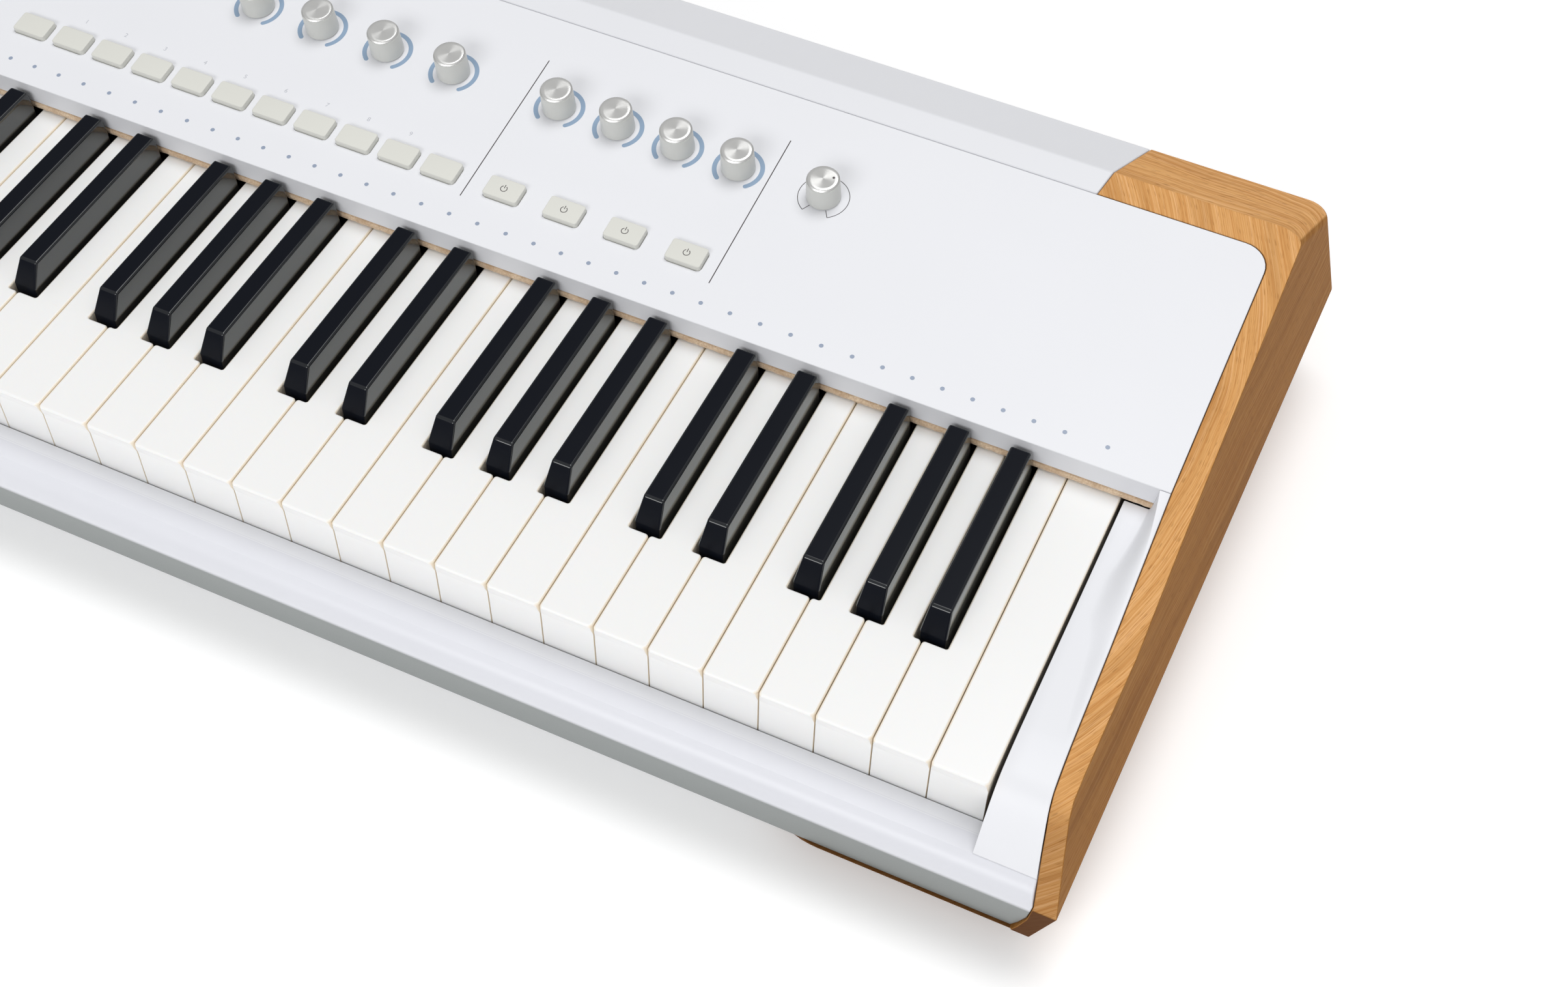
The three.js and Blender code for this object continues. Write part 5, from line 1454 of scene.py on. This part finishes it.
# %% Display and dial
DISPLAY_SLOPE = 66
DISPLAY_X = -52
DIAL_PROFILE = [
    (25.3, -6), (26.9, -6), (26.9, 0.4), (33.4, 0.4), (33.7, 0.9), (33.6, 6.2), (33.3, 6.9), (32.6, 7.8),
    (32.2, 8), (31, 8), (29.5, 7.95), (28.3, 7.9), (27.9, 7.75), (25.5, 5.4), (25.3, 5.1), (25.3, -6),
]
GLASS_PROFILE = [
    (0, -9), (25, -9), (25, 2.9), (24.9, 3.25), (24.6, 3.45), (24.2, 3.5), (22.6, 3.5), (22.4, 3.42),
    (12, 3.46), (0, 3.47),
]
GLASS_FINISHES = [1, 1, 1, 1, 1, 1, 0, 0, 0]


def ring_of_ribs_tree():
    tree, given = geometry_tree("ring_of_ribs", {
        "Radius": "Float",
        "Ribs": "Int",
        "Rib size": "Vector",
        "Height": "Float",
        "Finish": "Material",
    })
    circle = add(tree, "GeometryNodeMeshCircle", {"Vertices": given["Ribs"], "Radius": given["Radius"]})
    lift = add(tree, "ShaderNodeCombineXYZ", {"Z": given["Height"]})
    raised = add(tree, "GeometryNodeSetPosition", {"Geometry": circle, "Offset": lift})
    outwards = add(tree, "GeometryNodeInputPosition")
    flat = add(tree, "ShaderNodeVectorMath", {0: outwards, 1: (1.0, 1.0, 0.0)}, operation="MULTIPLY")
    turned = add(tree, "FunctionNodeAlignRotationToVector", {"Vector": flat}, axis="X")
    rib = add(tree, "GeometryNodeMeshCylinder", {"Vertices": 8, "Radius": 1.0, "Depth": 1.0})
    ribs = {"Points": raised, "Instance": rib, "Rotation": turned, "Scale": given["Rib size"]}
    ribs = add(tree, "GeometryNodeInstanceOnPoints", ribs)
    ended(tree, ribs, given["Finish"])
    return tree


ring_of_ribs = ring_of_ribs_tree()
dial_place = on_panel(DISPLAY_X, DISPLAY_SLOPE)
dial_ribs = grown("dial_ribs", ring_of_ribs, {
    "Radius": 33.55 * MM,
    "Ribs": 120,
    "Rib size": Vector((0.4, 0.5, 4.6)) * MM,
    "Height": 3.6 * MM,
    "Finish": aluminium,
})
dial_ribs.transform(dial_place)
dial_body = meshed("dial_body", lathed(DIAL_PROFILE, 128, dial_place), aluminium)
dial = combined("dial", dial_body, dial_ribs)
piece("dial", dial, "navigation_dial", "knob_aluminium", "navigation_dial")
glass = lathed(GLASS_PROFILE, 128, dial_place, GLASS_FINISHES)
glass = meshed("display_glass", glass, display_glass, socket_black)
piece("display_window", glass, HOUSING, "display_glass", "display")
print("the dial has", len(dial.polygons), "faces")

# %% [markdown]
# The two wheels at the far left are soft rubber on a disc, with a dimple for the thumb and fine
# cross ribs that keep it from slipping. The ribs come from the same tree as the dial's, laid along the
# wheel's rim, and those that would stand in the dimple are left out by a boolean cut.

# %% Wheels
WHEEL_SLOPE = 66
WHEEL_SINK = 7
WHEEL_RADIUS = 17
WHEEL_WIDTH = 14
WHEEL_EDGE = 0.7
DIMPLE_REACH = 21.2
DIMPLE_PROFILE = [(0, -12), (7.4, -12), (7.4, 12), (0, 12)]
DIMPLE_TURNS = {"pitch_wheel": 0, "modulation_wheel": math.pi / 5}

on_its_side = Matrix.Rotation(math.pi / 2, 4, "Y")
for node, dimple_turn in DIMPLE_TURNS.items():
    centre = on_panel(across(node), WHEEL_SLOPE, -WHEEL_SINK)
    tyre = softened(plain(node), WHEEL_EDGE, wheel_rubber, sharp=math.radians(40))
    ribs = grown("wheel_ribs", ring_of_ribs, {
        "Radius": (WHEEL_RADIUS - 0.3) * MM,
        "Ribs": 60,
        "Rib size": Vector((0.3, 0.45, WHEEL_WIDTH - 3.6)) * MM,
        "Height": 0.0,
        "Finish": wheel_rubber,
    })
    ribs.transform(centre @ on_its_side)
    dimple_place = centre @ Matrix.Rotation(dimple_turn, 4, "X")
    dimple_place = dimple_place @ Matrix.Translation((0, 0, DIMPLE_REACH * MM)) @ on_its_side
    ribs = boolean(ribs, meshed("dimple", lathed(DIMPLE_PROFILE, 32, dimple_place)), "DIFFERENCE")
    ribs.materials.clear()
    ribs.materials.append(wheel_rubber)
    wheel = combined(node, tyre, ribs)
    piece(node + "_tyre", wheel, node, "wheel_rubber", node)
    print(node, len(wheel.polygons), "faces")

# %% [markdown]
# At the rear are the sockets. Every socket is a hole in a black plate, and what tells one from another
# is the metal in it. A jack has a nickel ring, as its nut, and a gold contact inside. Jacks repeat
# along a line, so a tree lays them out. Their frame has +Z coming out of the rear of the instrument.

# %% Jacks
SOCKET_PITCH = 25
FIRST_SOCKET = 412.4
SOCKET_HEIGHT = -33
JACKS = 8
FIRST_JACK = 5
JACK_RING = [
    (3.15, -9.5), (3.35, -9.5), (3.35, -0.6), (3.6, -0.2), (3.6, 0), (6.2, 0), (6.3, 0.12), (6.2, 0.24),
    (4.2, 0.26), (3.5, 0.26), (3.3, 0.1), (3.15, -0.5), (3.15, -9.5),
]
JACK_CONTACT = [(-0.5, 2.2), (0.5, 2.2), (0.5, 3.1), (-0.5, 3.1)]
TO_THE_REAR = Matrix.Rotation(-math.pi / 2, 4, "X")

rear_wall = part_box("socket_panel")[1].y
socket_face = Matrix.Translation((0, rear_wall, at(0, 0, SOCKET_HEIGHT).z)) @ TO_THE_REAR


def socket_place(number):
    """The frame of a socket, counted from the instrument's right-hand end."""
    return socket_face @ Matrix.Translation(((FIRST_SOCKET - number * SOCKET_PITCH) * MM, 0, 0))


def line_of_tree():
    tree, given = geometry_tree("line_of_copies", {
        "Offset": "Vector",
        "Copies": "Int",
        "Shape": "Object",
        "Finish": "Material",
    })
    line = {"Count": given["Copies"], "Offset": given["Offset"]}
    line = add(tree, "GeometryNodeMeshLine", line, mode="OFFSET")
    shape = add(tree, "GeometryNodeObjectInfo", {"Object": given["Shape"]}).outputs["Geometry"]
    copies = add(tree, "GeometryNodeInstanceOnPoints", {"Points": line, "Instance": shape})
    ended(tree, copies, given["Finish"])
    return tree


line_of = line_of_tree()


def copied(name, mesh, step, count, finish):
    """Copies of a mesh this many millimetres apart along X."""
    holder = bpy.data.objects.new(name + "_one", mesh)
    values = {"Offset": Vector((step, 0, 0)) * MM, "Copies": count, "Shape": holder, "Finish": finish}
    made = grown(name, line_of, values)
    bpy.data.objects.remove(holder)
    return made


ring = meshed("jack_ring", lathed(JACK_RING, 40), nickel)
contact = meshed("jack_contact", extruded(JACK_CONTACT, -10, -5), gold)
rings = copied("jack_rings", ring, -SOCKET_PITCH, JACKS, nickel)
contacts = copied("contacts", contact, -SOCKET_PITCH, JACKS, gold)
jacks = combined("jack_fittings", rings, contacts)
jacks.transform(socket_place(FIRST_JACK))
piece("jack_fittings", jacks, HOUSING, "socket_black_plastic")
print("jacks:", JACKS)

# %% [markdown]
# The other sockets. A round one has a nickel ring and five pins on a circle. A square and a flat one
# have a thin shell round a tongue, and the flat one's tongue has four gold strips. The power socket,
# the last one to the right, has a sleeve round a post. Each fitting is made in its socket's frame.

# %% Round, square and flat sockets
ROUND_RING = [
    (7.25, -10), (7.5, -10), (7.5, -0.3), (7.9, 0), (8.6, 0.1), (8.6, 0.26), (7.5, 0.26), (7.25, 0),
    (7.25, -10),
]
PIN = [(0, -10.9), (0.6, -10.9), (0.6, -8.6), (0.35, -8.3), (0, -8.3)]
PIN_CIRCLE = 4.9
SLEEVE = [(2.9, -10), (3.1, -10), (3.1, 0), (4.4, 0.05), (4.4, 0.24), (3, 0.24), (2.9, 0.1), (2.9, -10)]
POST = [(0, -10.9), (0.9, -10.9), (0.9, -2.2), (0.6, -1.8), (0, -1.8)]
BLADE = [(-5.4, -1.9), (5.4, -1.9), (5.4, -0.3), (-5.4, -0.3)]


def shell_round(width, height, wall, place):
    """A thin metal sleeve that lines a rectangular socket."""
    outer = meshed("sleeve", extruded(rounded_box(width, height, 0.5), -10.5, 0.2, place), nickel)
    inner = meshed("hole", extruded(rounded_box(width - 2 * wall, height - 2 * wall, 0.3), -12, 1, place))
    return boolean(outer, inner, "DIFFERENCE")


power_inlet, square_one, flat_one, *round_ones = [socket_place(number) for number in range(FIRST_JACK)]
fittings = []
for place in round_ones:
    fittings.append(meshed("ring", lathed(ROUND_RING, 48, place), nickel))
    for turn_number in range(5):
        angle = math.radians(turn_number * 45)
        spot = Vector((math.cos(angle), -math.sin(angle), 0)) * PIN_CIRCLE * MM
        fittings.append(meshed("pin", lathed(PIN, 16, place @ Matrix.Translation(spot)), gold))
fittings.append(shell_round(8.3, 8.3, 0.3, square_one))
fittings.append(shell_round(13.1, 5.7, 0.3, flat_one))
tongue = extruded(rounded_box(4.6, 2.4, 0.3), -10.9, -2.5, square_one)
fittings.append(meshed("tongue", tongue, socket_black))
fittings.append(meshed("blade", extruded(BLADE, -10.9, -1.5, flat_one), socket_black))
for x in (-3.5, -3.5 + 7 / 3, -3.5 + 14 / 3, 3.5):
    strip = [(x - 0.5, -0.32), (x + 0.5, -0.32), (x + 0.5, -0.22), (x - 0.5, -0.22)]
    fittings.append(meshed("strip", extruded(strip, -10, -1.8, flat_one), gold))
fittings.append(meshed("sleeve", lathed(SLEEVE, 32, power_inlet), nickel))
fittings.append(meshed("post", lathed(POST, 20, power_inlet), nickel))
piece("socket_fittings", combined("socket_fittings", *fittings), HOUSING, "socket_black_plastic")
print("fittings in the other sockets:", len(fittings))

# %% [markdown]
# The power button beside the sockets is flush with the wall. It is a moulded disc with a rounded rim
# and a dished face, so that a finger finds it from the front of the instrument without looking. The
# lathe gives all of that in one profile.

# %% Power button
POWER_PROFILE = [
    (0, -5), (7.4, -5), (7.4, -3.4), (5.95, -3.3), (6, -0.5), (5.85, -0.15), (5.5, 0), (4.9, -0.05),
    (3.2, -0.35), (1.5, -0.5), (0, -0.55),
]
low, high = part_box("power_button")
button_centre = Matrix.Translation(((low.x + high.x) / 2, high.y, (low.z + high.z) / 2)) @ TO_THE_REAR
power = meshed("power_button_cap", lathed(POWER_PROFILE, 64, button_centre), socket_black)
piece("power_button_cap", power, "power_button", "socket_black_plastic", "power_button")
print("the power button has", len(power.polygons), "faces")

# %% [markdown]
# The feet are moulded rubber discs, each held by a screw sunk in its middle. Rubber feet bulge a
# little under the weight and have a shallow tread, and both are in the profile. More screws hold the
# bottom case, in two rows.

# %% Feet and screws
FOOT_PROFILE = [
    (0, 3.5), (3.6, 3.5), (3.6, 0.9), (4.2, 0.25), (5.2, 0), (6.4, 0), (6.8, 0.4), (7.4, 0.4), (7.8, 0),
    (9.2, 0), (10.3, 0.5), (10.9, 1.6), (11, 3.6), (10.8, 6.2), (10.5, 8.3), (10.2, 8.7), (0, 8.7),
]
FOOT_SCREW = [
    (0, 0.9), (0.5, 0.9), (0.9, 0.35), (1.2, 0), (2.2, 0.1), (2.8, 0.6), (3, 1.3), (3, 1.8), (0, 1.8),
]
BASE_SCREW = [(0, 0), (1, -0.1), (1.5, -0.6), (2.6, -0.5), (3.4, -0.2), (3.6, 0.1), (0, 0.1)]
BASE_SCREWS = 9
BASE_SCREW_PITCH = 130
BASE_SCREW_ROWS = (40, 300)

feet = [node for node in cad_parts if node.startswith("foot_")]
for node in feet:
    low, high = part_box(node)
    place = Matrix.Translation(((low.x + high.x) / 2, (low.y + high.y) / 2, low.z))
    pad = meshed("pad", lathed(FOOT_PROFILE, 64, place), foot_rubber)
    screw = meshed("screw", lathed(FOOT_SCREW, 24, place @ Matrix.Translation((0, 0, 1.8 * MM))), zinc)
    piece(node + "_pad", combined(node, pad, screw), HOUSING, "foot_rubber", node)

rows = []
for run in BASE_SCREW_ROWS:
    head = meshed("head", lathed(BASE_SCREW, 20), zinc)
    row = copied("screw_row", head, BASE_SCREW_PITCH, BASE_SCREWS, zinc)
    start = at(-BASE_SCREW_PITCH * (BASE_SCREWS - 1) / 2, run, 0)
    row.transform(Matrix.Translation((start.x, start.y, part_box("bottom_case")[0].z)))
    rows.append(row)
piece("base_screws", combined("base_screws", *rows), HOUSING, "plated_steel")
print("feet:", len(feet), "and screws in the base:", BASE_SCREWS * len(rows))

# %% [markdown]
# The circuit board is out of sight, and keeps its plain solid with the lacquer's finish.

# %% Board
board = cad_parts["control_board"]
board.data.materials.clear()
board.data.materials.append(board_lacquer)
print("the board's finish:", board_lacquer.name)

# %% [markdown]
# Last comes the studio, plain and pale. The floor is a sheet of paper that glows a little, as one does
# that is lit from below. The room's light grows from the floor's level to the ceiling, and two large
# soft lamps, one overhead to the rear and one low in front, add the highlights and the soft shadows.

# %% Studio
floor_data = bpy.data.meshes.new("floor")
sheet = bmesh.new()
bmesh.ops.create_grid(sheet, x_segments=1, y_segments=1, size=12)
sheet.to_mesh(floor_data)
sheet.free()
floor = bpy.data.objects.new("floor", floor_data)
bpy.context.scene.collection.objects.link(floor)
paper, _, paper_shader = surface("pale_paper", "#fafafa", 0.9)
feed(paper_shader, {"Emission Color": linear("#ffffff"), "Emission Strength": 0.2})
floor_data.materials.append(paper)


def soft_light(name, place, target, size, power):
    """A rectangular lamp of this size, in metres, that faces a target."""
    data = bpy.data.lights.new(name, "AREA")
    data.shape = "RECTANGLE"
    data.size, data.size_y = size
    data.energy = power
    light = bpy.data.objects.new(name, data)
    aim = (Vector(target) - Vector(place)).to_track_quat("-Z", "Y").to_matrix().to_4x4()
    light.matrix_world = Matrix.Translation(place) @ aim
    bpy.context.scene.collection.objects.link(light)


soft_light("overhead", (0.7, 0.75, 3.4), (0.2, 0, 0), (1.8, 1.8), 52)
soft_light("front_fill", (0.2, -2.3, 1.55), (0.2, 0, 0), (1.8, 0.8), 27)

world = bpy.data.worlds.new("soft_room")
world.use_nodes = True
room = world.node_tree
looking = add(room, "ShaderNodeTexCoord").outputs["Generated"]
upwards = add(room, "ShaderNodeSeparateXYZ", {"Vector": looking}).outputs["Z"]
strength = add(room, "ShaderNodeMapRange", {"Value": upwards, "To Min": 0.26, "To Max": 0.54})
feed(room.nodes["Background"], {"Color": linear("#ffffff"), "Strength": strength})
bpy.context.scene.world = world
bpy.context.scene.view_settings.view_transform = "Standard"
print("lamps:", len(bpy.data.lights))
